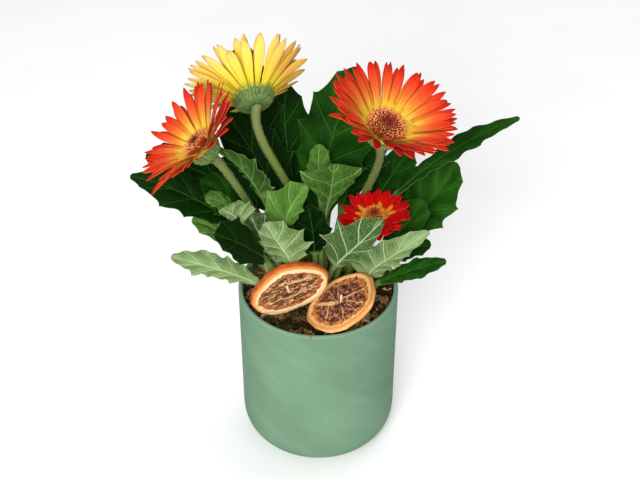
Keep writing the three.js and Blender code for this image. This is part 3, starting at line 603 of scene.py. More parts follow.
# Leaves. Each is one curve from its root to its tip, as in the model that this dresses.
leafColumns = ("kind", "root", "rise", "reach", "tip",
               "neck", "halfWidth", "roll", "fold", "teeth", "shade", "own")
leafRows = {  # shade is 0 for the deepest of its kind, 1 for the palest; own is what differs from leafForm
    "leaf_back_right": ("dark", (1, 20), (-7, 18, 213), (6, 53, 280), (34, 80, 331),
        0.26, 37, 10, 0.16, 6, 0.65, {"left": 0.9, "right": 1.1}),
    "leaf_back_inner": ("dark", (11, 20), (14, 30, 217), (32, 58, 256), (63, 60, 297),
        0.34, 27, 4, 0.16, 4, 0.5),
    "leaf_back_middle": ("dark", (-7, 21), (-5, 19, 208), (-38, 55, 269), (-27, 105, 300),
        0.32, 28, -10, 0.15, 5, 0.35),
    "leaf_back_left": ("dark", (-12, 15), (-12, 0, 205), (-39, 22, 263), (-78, 55, 301),
        0.36, 32, -23, 0.16, 5, 0.3),
    "leaf_back_tall": ("dark", (-17, 21), (-12, 15, 237), (-66, 63, 275), (-65, 115, 335),
        0.42, 29, -15, 0.15, 5, 0.25),
    "leaf_left_large": ("dark", (-20, 5), (-37, 4, 199), (-92, -6, 264), (-155, 6, 271),
        0.42, 21, -32, 0.2, 5, 0.3, {"point": 1.25}),
    "leaf_left_rear": ("dark", (-21, 13), (-22, 8, 218), (-84, 24, 270), (-147, 46, 265),
        0.48, 24, -23, 0.18, 4, 0.3),
    "leaf_left_inner": ("dark", (-16, -12), (-30, -5, 197), (-63, 14, 244), (-98, 10, 263),
        0.42, 21, -25, 0.16, 4, 0.5),
    "leaf_left_young": ("fresh", (-18, -3), (-52, -7, 202), (-69, -14, 268), (-91, -24, 269),
        0.54, 13, -47, 0.06, 3, 0.3, {"left": 0.5, "right": 0.7, "widest": 0.62, "cup": 0.2}),
    "leaf_left_low_dark": ("dark", (-24, -8), (-32, -18, 194), (-49, -53, 244), (-81, -67, 266),
        0.5, 22, -47, 0.28, 4, 0.15, {"left": 1, "right": 1, "widest": 0.56}),
    "leaf_left_low": ("pale", (-25, -16), (-30, -14, 170), (-77, -31, 202), (-121, -36, 220),
        0.4, 17, 78, 0.2, 5, 0.95),
    "leaf_front_left": ("pale", (-9, -19), (-19, -11, 173), (-42, -17, 200), (-56, -21, 254),
        0.54, 20, 100, 0.1, 4, 0.05, {"notch": 0.42, "left": 0.9, "right": 1.05, "widest": 0.6}),
    "leaf_front_ribbed": ("pale", (-3, -14), (-11, -3, 172), (-24, -39, 219), (-43, -28, 249),
        0.56, 28, 64, 0.06, 4, 0.9, {"widest": 0.48, "right": 0.7, "left": 1.1, "notch": 0.46}),
    "leaf_centre_round": ("fresh", (-8, -8), (-28, -5, 191), (-42, -19, 241), (-9, 3, 263),
        0.66, 18, 8, 0.28, 3, 0.75, {"left": 1.6, "right": 0.65, "widest": 0.32}),
    "leaf_centre_fan": ("fresh", (11, -15), (-10, 4, 202), (13, 6, 244), (13, 15, 277),
        0.52, 25, 27, 0.32, 4, 0.35, {"widest": 0.8, "left": 1.45, "right": 1}),
    "leaf_centre_upright": ("fresh", (3, 7), (11, 12, 199), (-3, 20, 247), (1, 34, 284),
        0.68, 12, 0, 0.12, 3, 0.6, {"left": 0.85, "right": 1, "widest": 0.52}),
    "leaf_left_upper": ("fresh", (-12, 7), (-38, 6, 187), (-31, -7, 282), (-88, 9, 297),
        0.62, 13, 52, 0.36, 5, 0.1, {"left": 1.5, "right": 1.1, "widest": 0.32}),
    "leaf_right_long": ("dark", (24, 17), (30, 8, 230), (98, 40, 275), (167, 40, 306),
        0.42, 12, 15, 0.22, 5, 0.7, {"point": 1.3}),
    "leaf_right_large": ("dark", (21, 0), (43, 5, 198), (97, 25, 214), (116, 24, 272),
        0.36, 26, 32, 0.16, 5, 0.85),
    "leaf_right_round": ("dark", (17, -8), (35, -2, 185), (72, -8, 217), (87, 1, 251),
        0.56, 15, 53, 0.12, 3, 0.7),
    "leaf_right_curled": ("dark", (13, 5), (17, 2, 196), (49, 39, 225), (81, 64, 261),
        0.54, 19, 36, 0.2, 4, 0.5),
    "leaf_front_right_large": ("pale", (29, -8), (47, 0, 189), (44, -34, 201), (89, -40, 249),
        0.3, 25, -68, 0.16, 5, 0.95, {"widest": 0.32, "right": 1.15, "left": 0.6, "notch": 0.42}),
    # leaf_front_right's shade of 0 is partly painted shade, darkening a face that is turned from the light
    "leaf_front_right": ("pale", (8, -1), (6, 9, 180), (19, -46, 218), (51, -46, 265),
        0.46, 31, -68, 0.04, 4, 0.0, {"widest": 0.44, "notch": 0.4, "left": 0.4, "right": 0.95}),
    "leaf_right_low": ("dark", (26, -16), (32, -17, 173), (72, -24, 193), (107, -26, 207),
        0.42, 10, 33, 0.2, 4, 0.8, {"point": 1.1}),
    "leaf_right_hooked": ("dark", (31, 0), (42, 1, 176), (60, -4, 205), (95, -12, 213),
        0.52, 13, 27, 0.2, 3, 0.5),
    "leaf_left_small": ("fresh", (-28, 2), (-35, -3, 167), (-64, -5, 219), (-105, -10, 238),
        0.55, 12, -35, 0.2, 3, 0.5),
    "leaf_left_curled": ("pale", (-27, -24), (-42, -19, 188), (-55, -19, 251), (-77, -46, 275),
        0.76, 17, 76, 0.12, 3, 0.95, {"left": 1.25, "right": 0.4, "widest": 0.38}),
    "leaf_centre_low": ("dark", (1, -22), (-5, -10, 170), (1, -6, 201), (-9, 7, 241),
        0.6, 20, -23, 0.42, 3, 0.1, {"left": 0.95, "right": 0.9, "widest": 0.56}),
    "leaf_rear_left": ("dark", (-12, 28), (-20, 40, 196), (-56, 84, 226), (-92, 108, 218),
        0.42, 25, -12, 0.2, 4, 0.5),
    "leaf_rear": ("dark", (4, 28), (8, 44, 200), (14, 92, 236), (20, 136, 226),
        0.42, 26, 0, 0.2, 4, 0.5),
    "leaf_rear_right": ("dark", (18, 25), (28, 34, 190), (67, 68, 222), (107, 90, 215),
        0.42, 24, 8, 0.2, 4, 0.5),
}
leafForm = {
    "rootHeight": 145.0, "petioleRows": 18, "rowsPerTooth": 20, "columns": 37,
    "petiole": 2.4, "tipHalf": 0.5,  # half widths
    "left": 1.0, "right": 1.0, "widest": 0.58, "point": 0.8, "lean": 0.14,
    "notch": 0.34, "notchFade": 0.55, "notchPower": 0.7, "toothPower": 2.2,
    "cup": 0.1, "ripple": 0.07, "bulge": 2.1, "bulgePower": 0.75, "wave": 1.3, "thickness": 0.8,
    "rib": 1.6, "ribHalf": 1.5, "ribGroove": 0.35,
    "vein": 0.42, "veinHalf": 0.75, "veinGroove": 0.5, "veinSlant": 1.15, "veinBend": 0.7,
}


def leafFrame(leaf, t):  # the curve, its slope, and the blade's side and face, turned round it by roll
    knots = (*leaf["root"], leaf["rootHeight"]), leaf["rise"], leaf["reach"], leaf["tip"]
    spine, along = bezier(knots, t)
    heading = math.atan2(leaf["tip"][1] - leaf["root"][1], leaf["tip"][0] - leaf["root"][0])
    side = np.array([-math.sin(heading), math.cos(heading), 0])
    side = unit(side - along * (along @ side)[:, None])
    side = turned(side, along, np.full(len(t), math.radians(leaf["roll"])))
    return spine, along, side, np.cross(along, side)


def leafOutline(leaf, s, v, isBlade):
    # shape sin(pi s^p)^point, with p such that it peaks at s = widest; comb |cos(pi lobe)|, 1 at a notch and
    # 0 at a tooth's point; tooth 1 - depth comb^0.7 at the edge, smoothed towards the midrib; and the side's
    # own half width
    power = math.log(0.5) / math.log(leaf["widest"])
    shape = isBlade * np.sin(np.pi * s**power) ** leaf["point"]
    depth = leaf["notch"] * (1 - leaf["notchFade"] * s)
    comb = np.abs(np.cos(np.pi * leaf["teeth"] * s))
    tooth = mix(1 - 0.5 * depth, 1 - depth * comb ** leaf["notchPower"], np.abs(v) ** leaf["toothPower"])
    return shape, comb, tooth, np.where(v < 0, leaf["right"], leaf["left"]) * leaf["halfWidth"]


def leafLift(leaf, s, v, blade, shape, swell, vein, number):
    # swell (fold (sqrt(v^2 + 0.012) - 0.11) - cup v^2 + ripple edge v^2), edge a sine along the blade, plus
    # a bulge |sin(pi vein)|^0.75 between the side veins, none at the midrib, and a wave v^4 along the edge
    crease = np.sqrt(v * v + 0.012) - 0.11
    edge = np.sin(2 * np.pi * (2.5 * s + 0.2 * np.sign(v) + 0.13 * leaf["halfWidth"]))
    lift = swell * (leaf["fold"] * crease - leaf["cup"] * v * v + leaf["ripple"] * edge * v * v)
    window = blade * shape * np.minimum(1, 3.2 * np.abs(v)) * (1 - 0.75 * v * v)
    lift = lift + leaf["bulge"] * window * np.abs(np.sin(np.pi * vein)) ** leaf["bulgePower"]
    return lift + leaf["wave"] * shape * v**4 * np.sin(2 * np.pi * leaf["teeth"] * s * 1.5 + number)


def makeLeaf(name, leaf, paints, number):
    # Place = spine(t) + side half v + face lift + along ahead, thickened both ways along face. u is -1 on
    # the petiole and 0 to 1 on the blade, and v runs from -1 to 1 across it. The teeth lean forward, most at
    # their points. vein = lobe - 1/2 + slant (1 - |v|^bend) is whole on a side vein.
    teeth, count = leaf["teeth"], leaf["petioleRows"]
    u = np.concatenate([np.full(count, -1.0), np.linspace(0, 1, teeth * leaf["rowsPerTooth"] + 1)])
    stalkSteps = np.linspace(0, leaf["neck"], count, endpoint=False)
    t = np.concatenate([stalkSteps, mix(leaf["neck"], 1, u[count:])])
    spine, along, side, face = leafFrame(leaf, t)
    even = np.linspace(-1, 1, leaf["columns"])
    v = np.sin(even * np.pi / 2) * 0.5 + even * 0.5
    isBlade, s = (u >= 0)[:, None], np.clip(u, 0, 0.999)[:, None]
    blade, lobe = isBlade * ease(s * 4), teeth * s
    shape, comb, tooth, wide = leafOutline(leaf, s, v, isBlade)
    half = mix(np.where(u > 0.998, leaf["tipHalf"], leaf["petiole"])[:, None], wide, shape * tooth)
    across = half * v
    vein = lobe - 0.5 + leaf["veinSlant"] * (1 - np.abs(v) ** leaf["veinBend"])
    lift = leafLift(leaf, s, v, blade, shape, shape * tooth * wide, vein, number)
    ahead = leaf["lean"] * shape * wide * (1 - comb) ** 1.5 * v * v
    stalk, leafy = 2 * leaf["petiole"] * np.sqrt(1 - 0.94 * v * v), leaf["thickness"] * (1 - 0.5 * v * v)
    thickness = mix(stalk, leafy, blade)
    ribShape = np.exp(-((across / leaf["ribHalf"]) ** 2)) * blade * (1 - s) ** 0.6
    toVein = np.abs(vein - np.round(vein)) * np.linalg.norm(spine[-1] - spine[count]) / teeth
    sideVein = np.exp(-((toVein / leaf["veinHalf"]) ** 2)) * blade * (1 - 0.7 * v * v) * (np.abs(v) > 0.02)
    groove = leaf["ribGroove"] * ribShape + leaf["veinGroove"] * leaf["vein"] * sideVein
    ridge = np.maximum(leaf["rib"] * ribShape, leaf["vein"] * sideVein)
    middle = spine[:, None] + side[:, None] * across[..., None] + face[:, None] * lift[..., None]
    middle = middle + along[:, None] * ahead[..., None]
    upper = middle + face[:, None] * (thickness / 2 - groove)[..., None]
    lower = middle - face[:, None] * (thickness / 2 + ridge)[..., None]
    points = shellRings(upper, lower)
    length = np.concatenate([[0], np.cumsum(np.linalg.norm(np.diff(spine, axis=0), axis=1))])[:, None]
    layers = {"lobes": (lobe, v), "size": (length, across)}
    layers = {layer: np.stack([shellValues(a, half) for a in pair], -1) for layer, pair in layers.items()}
    marks = {"blade": blade, "run": s, "luck": (number * 0.618) % 1, "shade": leaf["shade"]}
    marks = {mark: shellValues(a, half) for mark, a in marks.items()}
    makePiece(camel(name), points, shellFaces(*points.shape[:2]), paints, node=name,
              layers=layers, marks=marks)


def camel(name):  # leaf_back_right becomes leafBackRight
    first, *rest = name.split("_")
    return first + "".join(word.capitalize() for word in rest)


def veinMasks(paint, rib):
    # how far a point is a midrib, a side vein, a net vein, in a valley between side veins and in a pleat,
    # from 0 to 1, with its share of the way from midrib to edge and from petiole to blade. Valleys and
    # pleats are darkened as painted shade.
    lobe, v = paint.split(paint.uv("lobes"))[:2]
    length, across = paint.split(paint.uv("size"))[:2]
    blade = paint.mark("blade")
    aside = paint.math("ABSOLUTE", v)

    def offHalf(value):  # how far its fraction is from one half
        return paint.math("ABSOLUTE", paint.less(paint.math("FRACT", value), 0.5))

    bend = paint.times(paint.rest(paint.math("POWER", aside, leafForm["veinBend"])), leafForm["veinSlant"])
    vein = paint.plus(lobe, bend)
    off = offHalf(vein)
    width = paint.scaled(aside, -0.018, 0.034)
    sideVein = paint.rest(paint.step(off, width, paint.times(width, 2.2)))
    sideVein = paint.times(sideVein, paint.step(blade, 0.2, 0.8))
    branch = paint.times(paint.math("SINE", paint.times(aside, 24.0)), 0.1)
    halfway = offHalf(paint.plus(paint.times(vein, 2.0), branch))
    away = paint.math("ABSOLUTE", across)
    taper = paint.scaled(paint.mark("run"), -0.78, 1.0)
    midrib = paint.rest(paint.step(paint.math("DIVIDE", away, taper), 0.45 * rib, rib))
    slanted = paint.join(paint.plus(length, paint.times(away, -0.9)), across, paint.mark("luck"))
    net = paint.cells(slanted, 0.24, feature="DISTANCE_TO_EDGE")
    fine = paint.cells(slanted, 0.62, feature="DISTANCE_TO_EDGE")
    netVein = paint.rest(paint.step(net, 0.02, 0.1))
    for line, low, high, share in ((fine, 0.03, 0.12, 0.5), (halfway, 0.02, 0.07, 0.7)):
        drawn = paint.times(paint.rest(paint.step(line, low, high)), share)
        netVein = paint.math("MAXIMUM", netVein, drawn)
    netVein = paint.times(netVein, paint.step(blade, 0.3, 0.9))
    clear = paint.times(paint.step(away, rib, 5 * rib), blade)
    # the valleys between side veins, darkened later as painted shade
    valleyShade = paint.times(paint.step(off, 0.06, 0.42), clear)
    wander = paint.scaled(paint.noise(paint.place(), 30.0), 2.0, paint.times(vein, 31.4))
    # pleat lines between the veins, darkened later as painted shade and raised in relief on the underside
    pleat = paint.times(paint.step(paint.math("SINE", wander), -0.2, 1.0), clear)
    return {"midrib": midrib, "side": sideVein, "net": netVein, "valleyShade": valleyShade, "pleat": pleat,
            "aside": aside, "blade": blade}


def leafTone(paint, place, scale):  # cloud, lifted by the leaf's own shade
    cloud = paint.times(paint.noise(place, scale, 4.0), 0.55)
    return paint.scaled(paint.mark("shade"), 0.45, cloud)


def veined(paint, base, masks, look):  # painted shade in the valleys and pleats, then the paler veins
    for mask, share in zip(("valleyShade", "pleat", "net", "side", "midrib"), look["shares"]):
        # valleys and pleats are tinted towards the deep colour as painted shade
        base = paint.tint(base, masks[mask], share, look["deep" if mask in ("valleyShade", "pleat") else "vein"])
    return paint.tint(base, paint.step(masks["aside"], 0.965, 0.995), look["edge"], look["vein"])


def leafTopPaint(name, look):  # satin green, dented over its veins, with painted shade between them
    paint = Paint(name, Roughness=0.5, Specular_IOR_Level=0.04)
    masks = veinMasks(paint, look["rib"])
    place = paint.place()
    tone = leafTone(paint, place, 26.0)
    base = paint.ramp(tone, [(0.3, look["deep"]), (0.5, look["mid"]), (0.72, look["light"])])
    base = veined(paint, base, masks, look)
    paint.colour(paint.blend(paint.step(masks["blade"], 0.05, 0.5), rgb(*look["stalk"]), base))
    dents = paint.math("MAXIMUM", masks["side"], paint.times(masks["net"], 0.5))
    skin = paint.noise(place, 1400.0, 2.0)
    paint.relief(paint.less(paint.times(skin, 0.16), dents), 0.0008)
    paint.roughness(paint.scaled(paint.noise(place, 60.0), 0.22, 0.38))
    return paint


def leafUnderPaint(name, look):  # downy paler green with warm patches, raised over its veins, with painted shade between them
    paint = Paint(name, Roughness=0.8, Specular_IOR_Level=0.06)
    masks = veinMasks(paint, look["rib"])
    place = paint.place()
    base = paint.ramp(leafTone(paint, place, 34.0), [(0.3, look["deep"]), (0.72, look["light"])])
    shifted = paint.add("VectorMath", {0: place, 1: (3.0, 1.0, 2.0)})
    base = paint.tint(base, paint.step(paint.noise(shifted, 24.0), 0.42, 0.66), 0.4, look["warm"])
    base = veined(paint, base, masks, look)
    down = paint.noise(place, 2600.0, 2.0)
    base = paint.tint(base, paint.step(down, 0.5, 0.75), 0.12, look["vein"])
    paint.colour(paint.blend(paint.step(masks["blade"], 0.05, 0.5), rgb(*look["stalk"]), base))
    ridges = paint.math("MAXIMUM", masks["side"], paint.times(masks["net"], 0.5))
    ridges = paint.scaled(masks["pleat"], -0.5, ridges)
    paint.relief(paint.plus(paint.times(down, 0.25), ridges), 0.0009)
    return paint


underShares = {"shares": (0.42, 0.3, 0.15, 0.6, 0.7), "edge": 0.5, "rib": 1.5}
leafLooks = {  # shares are of the painted shade in valleys and in pleats, then of net vein, side vein and midrib; rib is the midrib's half width in mm
    "leafDarkTop": {"deep": (3, 30, 1), "mid": (8, 50, 2), "light": (40, 92, 18), "vein": (80, 126, 52),
        "stalk": (92, 122, 56), "shares": (0.4, 0.12, 0.04, 0.15, 0.42), "edge": 0.4, "rib": 0.9},
    "leafFreshTop": {"deep": (34, 78, 12), "mid": (66, 112, 32), "light": (106, 150, 60),
        "vein": (154, 184, 114), "stalk": (98, 122, 60), "shares": (0.4, 0.12, 0.16, 0.42, 0.55),
        "edge": 0.4, "rib": 1.1},
    "leafPaleUnder": {"deep": (42, 80, 20), "light": (136, 164, 104), "vein": (190, 210, 162),
        "stalk": (122, 140, 88), "warm": (90, 118, 48), **underShares},
    "leafFreshUnder": {"deep": (36, 76, 16), "light": (84, 122, 50), "vein": (128, 158, 92),
        "stalk": (104, 128, 66), "warm": (66, 104, 28), **underShares},
    "leafDarkUnder": {"deep": (70, 98, 54), "light": (100, 124, 82), "vein": (138, 156, 116),
        "stalk": (104, 124, 72), "warm": (84, 112, 56), **underShares},
}
darkTop, freshTop = (leafTopPaint(name, leafLooks[name]) for name in ("leafDarkTop", "leafFreshTop"))
paleUnder, freshUnder, darkUnder = (leafUnderPaint(name, leafLooks[name])
                                    for name in ("leafPaleUnder", "leafFreshUnder", "leafDarkUnder"))
leafPaints = {"dark": [darkTop, darkUnder], "fresh": [freshTop, freshUnder], "pale": [darkTop, paleUnder]}

for number, (name, row) in enumerate(leafRows.items()):
    leaf = {**leafForm, **dict(zip(leafColumns, row))}
    makeLeaf(name, {**leaf, **leaf.get("own", {})}, leafPaints[leaf["kind"]], number)
print("leaves ready")

# Blooms. Each has a scape with its cup of bracts, layers of rays and a disc of florets.
bloomRows = {  # the rays towards one side may carry a darker tint as painted shade, and may be shorter, longer or steeper
    "bloom_right": {"centre": (53, 0, 321), "axis": (0.3, -0.28, 0.9), "root": (16, 13),
        "rise": (27, 39, 231), "reach": (62, 29, 264), "radius": 56, "hub": 16, "cup": 24, "cupDepth": 15,
        "discRadius": 17, "fullness": 1.0, "rayWidth": 3.6, "nearCup": 0.1, "nearShort": 0.24,
        "towards": (0.1, -1.0, 0.3), "rays": ("rayOrangeTop", "rayOrangeUnder"), "raySlot": "ray_orange",
        "disc": "discBrown", "discSlot": "disc_brown"},
    "bloom_left": {"centre": (-93, -10, 311), "axis": (-0.64, -0.04, 0.77), "root": (-4, 3),
        "rise": (-41, -11, 219), "reach": (-74, 3, 282), "radius": 50, "hub": 13, "cup": 17, "cupDepth": 14,
        "discRadius": 13, "fullness": 0.8, "rayWidth": 3.8, "nearCup": 0.0, "nearShort": 0.0,
        "towards": (1.0, -0.6, 1.0), "long": (-0.45, -0.8, -0.6), "steep": (0.2, 0.8, 0.42),
        "rays": ("rayOrangeTop", "rayOrangeUnder"), "raySlot": "ray_orange",
        "disc": "discBrown", "discSlot": "disc_brown"},
    "bloom_top": {"centre": (-53, 35, 330), "axis": (-0.25, 0.87, 0.41), "root": (-3, 12),
        "rise": (7, 6, 245), "reach": (-58, 15, 287), "radius": 53, "hub": 16, "cup": 25, "cupDepth": 10,
        "discRadius": 14, "fullness": 0.7, "rayWidth": 4.0, "nearCup": 0.0, "nearShort": 0.0,
        "towards": (1.0, 0.0, 0.1), "rays": ("rayYellowTop", "rayYellowUnder"), "raySlot": "ray_yellow",
        "disc": "discYellow", "discSlot": "disc_yellow"},
    "bloom_low": {"centre": (47, -8, 238), "axis": (-0.15, -0.07, 0.985), "root": (25, 8),
        "rise": (26, 9, 194), "reach": (46, 8, 192), "radius": 32, "hub": 10, "cup": 6, "cupDepth": 11,
        "discRadius": 9, "fullness": 0.66, "rayWidth": 3.9, "nearCup": 0.1, "nearShort": 0.0,
        "towards": (0.0, -1.0, 0.3), "rays": ("rayRedTop", "rayRedUnder"), "raySlot": "ray_red",
        "disc": "discRed", "discSlot": "disc_yellow"},
}
scapeForm = {
    "root": 145.0, "radius": 3.2, "rows": 70, "sides": 36, "hub": 3.0, "gap": 0.3, "seed": 40,
    "swell": 0.08, "neck": 0.12, "ribs": 9, "ribDepth": 0.035, "ribbedUnder": 5, "cupRings": 30,
    "cupRise": (0.0, 0.06, 0.14, 0.28, 0.42, 0.58, 0.75, 0.9, 1.0),
    "cupWidth": (0.22, 0.35, 0.5, 0.7, 0.84, 0.94, 1.0, 1.0, 0.98),
    "bracts": 34, "bractRows": 3, "bractWidth": 1.25, "bractReach": 3.4, "bractThickness": 0.3,
    "underRays": 1.9, "hairs": 2600, "hairLong": (0.5, 1.5), "hairRadius": 0.06, "hairBend": 0.15,
}
rayForm = {
    "rows": 15, "columns": 9, "thickness": 0.42, "inset": 2.6, "hub": 3.0, "hubSides": 40, "seed": 70,
    # count, base, cup, length and width of each layer, the last three as shares of the bloom's own
    "layers": ((26, -1.2, 0.85, 1.0, 1.0), (25, -0.5, 1.02, 0.97, 0.98), (20, 0.3, 1.2, 0.9, 0.9)),
    "inner": (30, 1.0, 0.9, 0.0, 0.42), "innerReach": 8.5, "innerRise": 0.35,
    "longest": 1.2, "steepest": 8.0, "shortest": 0.93, "unevenTurn": 0.035, "unevenRise": 1.2,
    "bends": (1.6, 1.4, 0.22),  # spread of curl and sway in mm and of twist in radians
    "footWidth": 0.42, "leastWidth": 0.22, "notch": 0.03, "trough": 0.12, "pleat": 0.1,
}


def cupRadius(form, share):  # width of the cup over its height, between the named heights
    return np.interp(share, form["cupRise"], form["cupWidth"])


def makeScape(name, bloom, form, number):
    # Place = spine(t) + r (side cos a + lift sin a), r the scape's radius with fine ribs and then the cup's.
    # Bracts lie on the cup in rows, and hairs stand on the scape and the cup.
    rng = np.random.default_rng(form["seed"] + number)
    axis = unit(np.array(bloom["axis"], float))
    foot = np.array(bloom["centre"]) - axis * (bloom["cupDepth"] + form["hub"] / 2 + form["gap"])
    t = np.linspace(0, 1, form["rows"])
    spine, along = bezier([(*bloom["root"], form["root"]), bloom["rise"], bloom["reach"], foot], t)
    swell = form["swell"] * np.sin(7 * t + number) + form["neck"] * ease((t - 0.9) * 10)
    radius = form["radius"] * (1 + swell)
    cupShare = np.linspace(0.03, 1, form["cupRings"])
    spine = np.concatenate([spine, foot + axis * (cupShare * bloom["cupDepth"])[:, None]])
    along = np.concatenate([along, np.tile(axis, (form["cupRings"], 1))])
    radius = np.concatenate([radius, cupRadius(form, cupShare) * bloom["hub"]])
    side = np.zeros(3) + (1, 0, 0)
    side = unit(side - along * (along @ side)[:, None])
    turn = circle(form["sides"])
    spoke = spokes(side, np.cross(along, side), turn)
    ribs = 1 + form["ribDepth"] * np.sin(form["ribs"] * turn) * (radius < form["ribbedUnder"])[:, None]
    points = spine[:, None] + spoke * (radius[:, None] * ribs)[..., None]
    rows, sides = points.shape[:2]
    bracts, bractShare = cupBracts(bloom, form, foot, rng)
    copies, *grid = bracts.shape[:3]
    faces = stackFaces(rows, sides)
    for part in (ringFaces(*grid), ladderEnds(*grid)):
        faces.append((copied(part, copies, math.prod(grid)) + rows * sides, 1))
    height = np.repeat(np.concatenate([t, np.ones(len(cupShare))]), sides)
    height = np.concatenate([height, bractShare.ravel()])
    allPoints = np.concatenate([points.reshape(-1, 3), bracts.reshape(-1, 3)])
    makePiece(camel(name), allPoints, faces, [stalkPaint, bractPaint], node=name,
              marks={"height": height})
    row = rng.integers(int(form["rows"] * 0.25), rows - 1, form["hairs"])
    column = rng.integers(0, sides, form["hairs"])
    out = spoke[row, column]
    ways = unit(out + 0.5 * rng.normal(0, 1, out.shape) + 0.3 * along[row])
    ways = ways * rng.uniform(*form["hairLong"], (len(out), 1))
    bends = rng.normal(0, form["hairBend"], out.shape)
    hairs, hairFaces = spikes(points[row, column], ways, np.full(len(out), form["hairRadius"]), bends)
    makePiece(camel(name) + "Hairs", hairs, hairFaces, [hairPaint])


def cupBracts(bloom, form, foot, rng):
    # blade s along the cup and v across it, at the cup's radius plus an overlap that grows to the tip.
    # Past the rim a bract lies just under the outer rays, on the same slope.
    count, layers = form["bracts"], form["bractRows"]
    s, v = np.linspace(0, 1, 12)[None, :, None], np.linspace(-1, 1, 5)[None, None, :]
    layer = np.repeat(np.arange(layers), count)[:, None, None]
    luck = rng.uniform(0.8, 1.2, layer.shape)
    share = 0.03 + 0.2 * layer + s * (0.42 + 0.16 * layer) * luck
    angle = (np.tile(np.arange(count), layers)[:, None, None] + 0.5 * (layer % 2)) * 2 * np.pi / count
    angle = angle + rng.normal(0, 0.03, angle.shape)
    radius = cupRadius(form, np.minimum(share, 1)) * bloom["hub"]
    width = form["bractWidth"] * (0.45 + 0.55 * np.sin(np.pi * s**0.7)) * (1 - s**4) + 0.12
    over = 0.2 + 0.35 * s + 0.35 * (1 - v * v) + form["bractReach"] * np.clip(share - 0.85, 0, 1) / 0.5
    turn = angle + v * width / np.maximum(radius, 4)
    start = bloom["hub"] - rayForm["inset"]
    slope = 1.3 * rayForm["layers"][0][2] * bloom["cup"] / (bloom["radius"] - start)
    roof = bloom["cupDepth"] + form["hub"] / 2 + form["gap"] - form["underRays"]

    def shell(extra):
        reach = radius + over + extra
        height = np.minimum(share * bloom["cupDepth"] + 0 * v, roof + slope * (reach - start))
        return foot + flatRing(turn, reach, height + 0.4 * extra) @ turnTo(bloom["axis"]).T

    return shellRings(shell(0.0), shell(-form["bractThickness"])), shellValues(s + 0 * layer, v)


def makeStalkPaint():
    paint = Paint("scapeSkin", Roughness=0.65, Specular_IOR_Level=0.2)
    height = paint.mark("height")
    tone = paint.plus(height, paint.times(paint.noise(paint.place(), 90.0), 0.2))
    base = paint.ramp(tone, [(0.2, (66, 92, 30)), (0.75, (98, 116, 48)), (1.0, (112, 122, 66))])
    dots = paint.step(paint.noise(paint.place(), 900.0, 2.0), 0.6, 0.72)
    paint.colour(paint.tint(base, dots, 0.25, (148, 152, 112)))
    paint.relief(paint.noise(paint.place(), 1300.0, 2.0), 0.0004)
    return paint


def makeBractPaint():
    paint = Paint("bractGreen", Roughness=0.7, Specular_IOR_Level=0.2)
    height = paint.mark("height")
    grain = paint.times(paint.noise(paint.place(), 160.0), 0.4)
    tone = paint.scaled(height, 0.7, grain)
    paint.colour(paint.ramp(tone, [(0.15, (54, 82, 34)), (0.5, (88, 116, 58)), (0.95, (142, 154, 94))]))
    paint.relief(paint.noise(paint.place(), 1500.0, 2.0), 0.0005)
    return paint


def makeHairPaint():
    paint = Paint("paleHair", Roughness=0.7, Specular_IOR_Level=0.2)
    cloud = paint.noise(paint.place(), 300.0)
    paint.colour(paint.ramp(cloud, [(0.3, (156, 160, 130)), (0.7, (186, 188, 164))]))
    return paint


stalkPaint, bractPaint, hairPaint = makeStalkPaint(), makeBractPaint(), makeHairPaint()


def rayPlan(bloom, form, rng):
    # turn, near (1 on the side towards one way), whether it is a short inner ray, base, width share, length,
    # rise, curl, sway and twist of each ray
    layers = (*form["layers"], form["inner"])
    counts = [round(layer[0] * bloom["fullness"]) for layer in layers]
    total = sum(counts)
    base, cup, long, wide = np.repeat(np.array(layers)[:, 1:], counts, axis=0).T
    inner = long == 0
    turn = np.concatenate([(np.arange(n) + 0.5 * (k % 2) + 0.3 * k) / n for k, n in enumerate(counts)])
    turn = turn * 2 * np.pi + rng.normal(0, form["unevenTurn"], total)
    near = np.cos(turn - headingOf(bloom["axis"], bloom["towards"]))
    length = np.where(inner, bloom["hub"] + form["innerReach"], bloom["radius"] * long)
    length = length * rng.uniform(form["shortest"], 1.0, total)
    length = length * (1 - bloom["nearShort"] * np.clip(near, 0, 1) ** 2)
    if "long" in bloom:  # one outer ray has grown past the others
        aimed = np.cos(turn[:counts[0]] - headingOf(bloom["axis"], bloom["long"]))
        length[np.argmax(aimed)] *= form["longest"]
    rise = bloom["cup"] * cup * (1 + bloom["nearCup"] * near) + rng.normal(0, form["unevenRise"], total)
    rise = rise * np.where(inner, form["innerRise"], 1)
    if "steep" in bloom:  # the rays towards one side stand up more
        aimed = np.clip(np.cos(turn - headingOf(bloom["axis"], bloom["steep"])), 0, 1)
        rise = rise + form["steepest"] * aimed**2 * (1 - inner)
    bends = [rng.normal(0, spread, total) for spread in form["bends"]]
    return (a[:, None, None] for a in (turn, near, inner * 1.0, base, wide, length, rise, *bends))


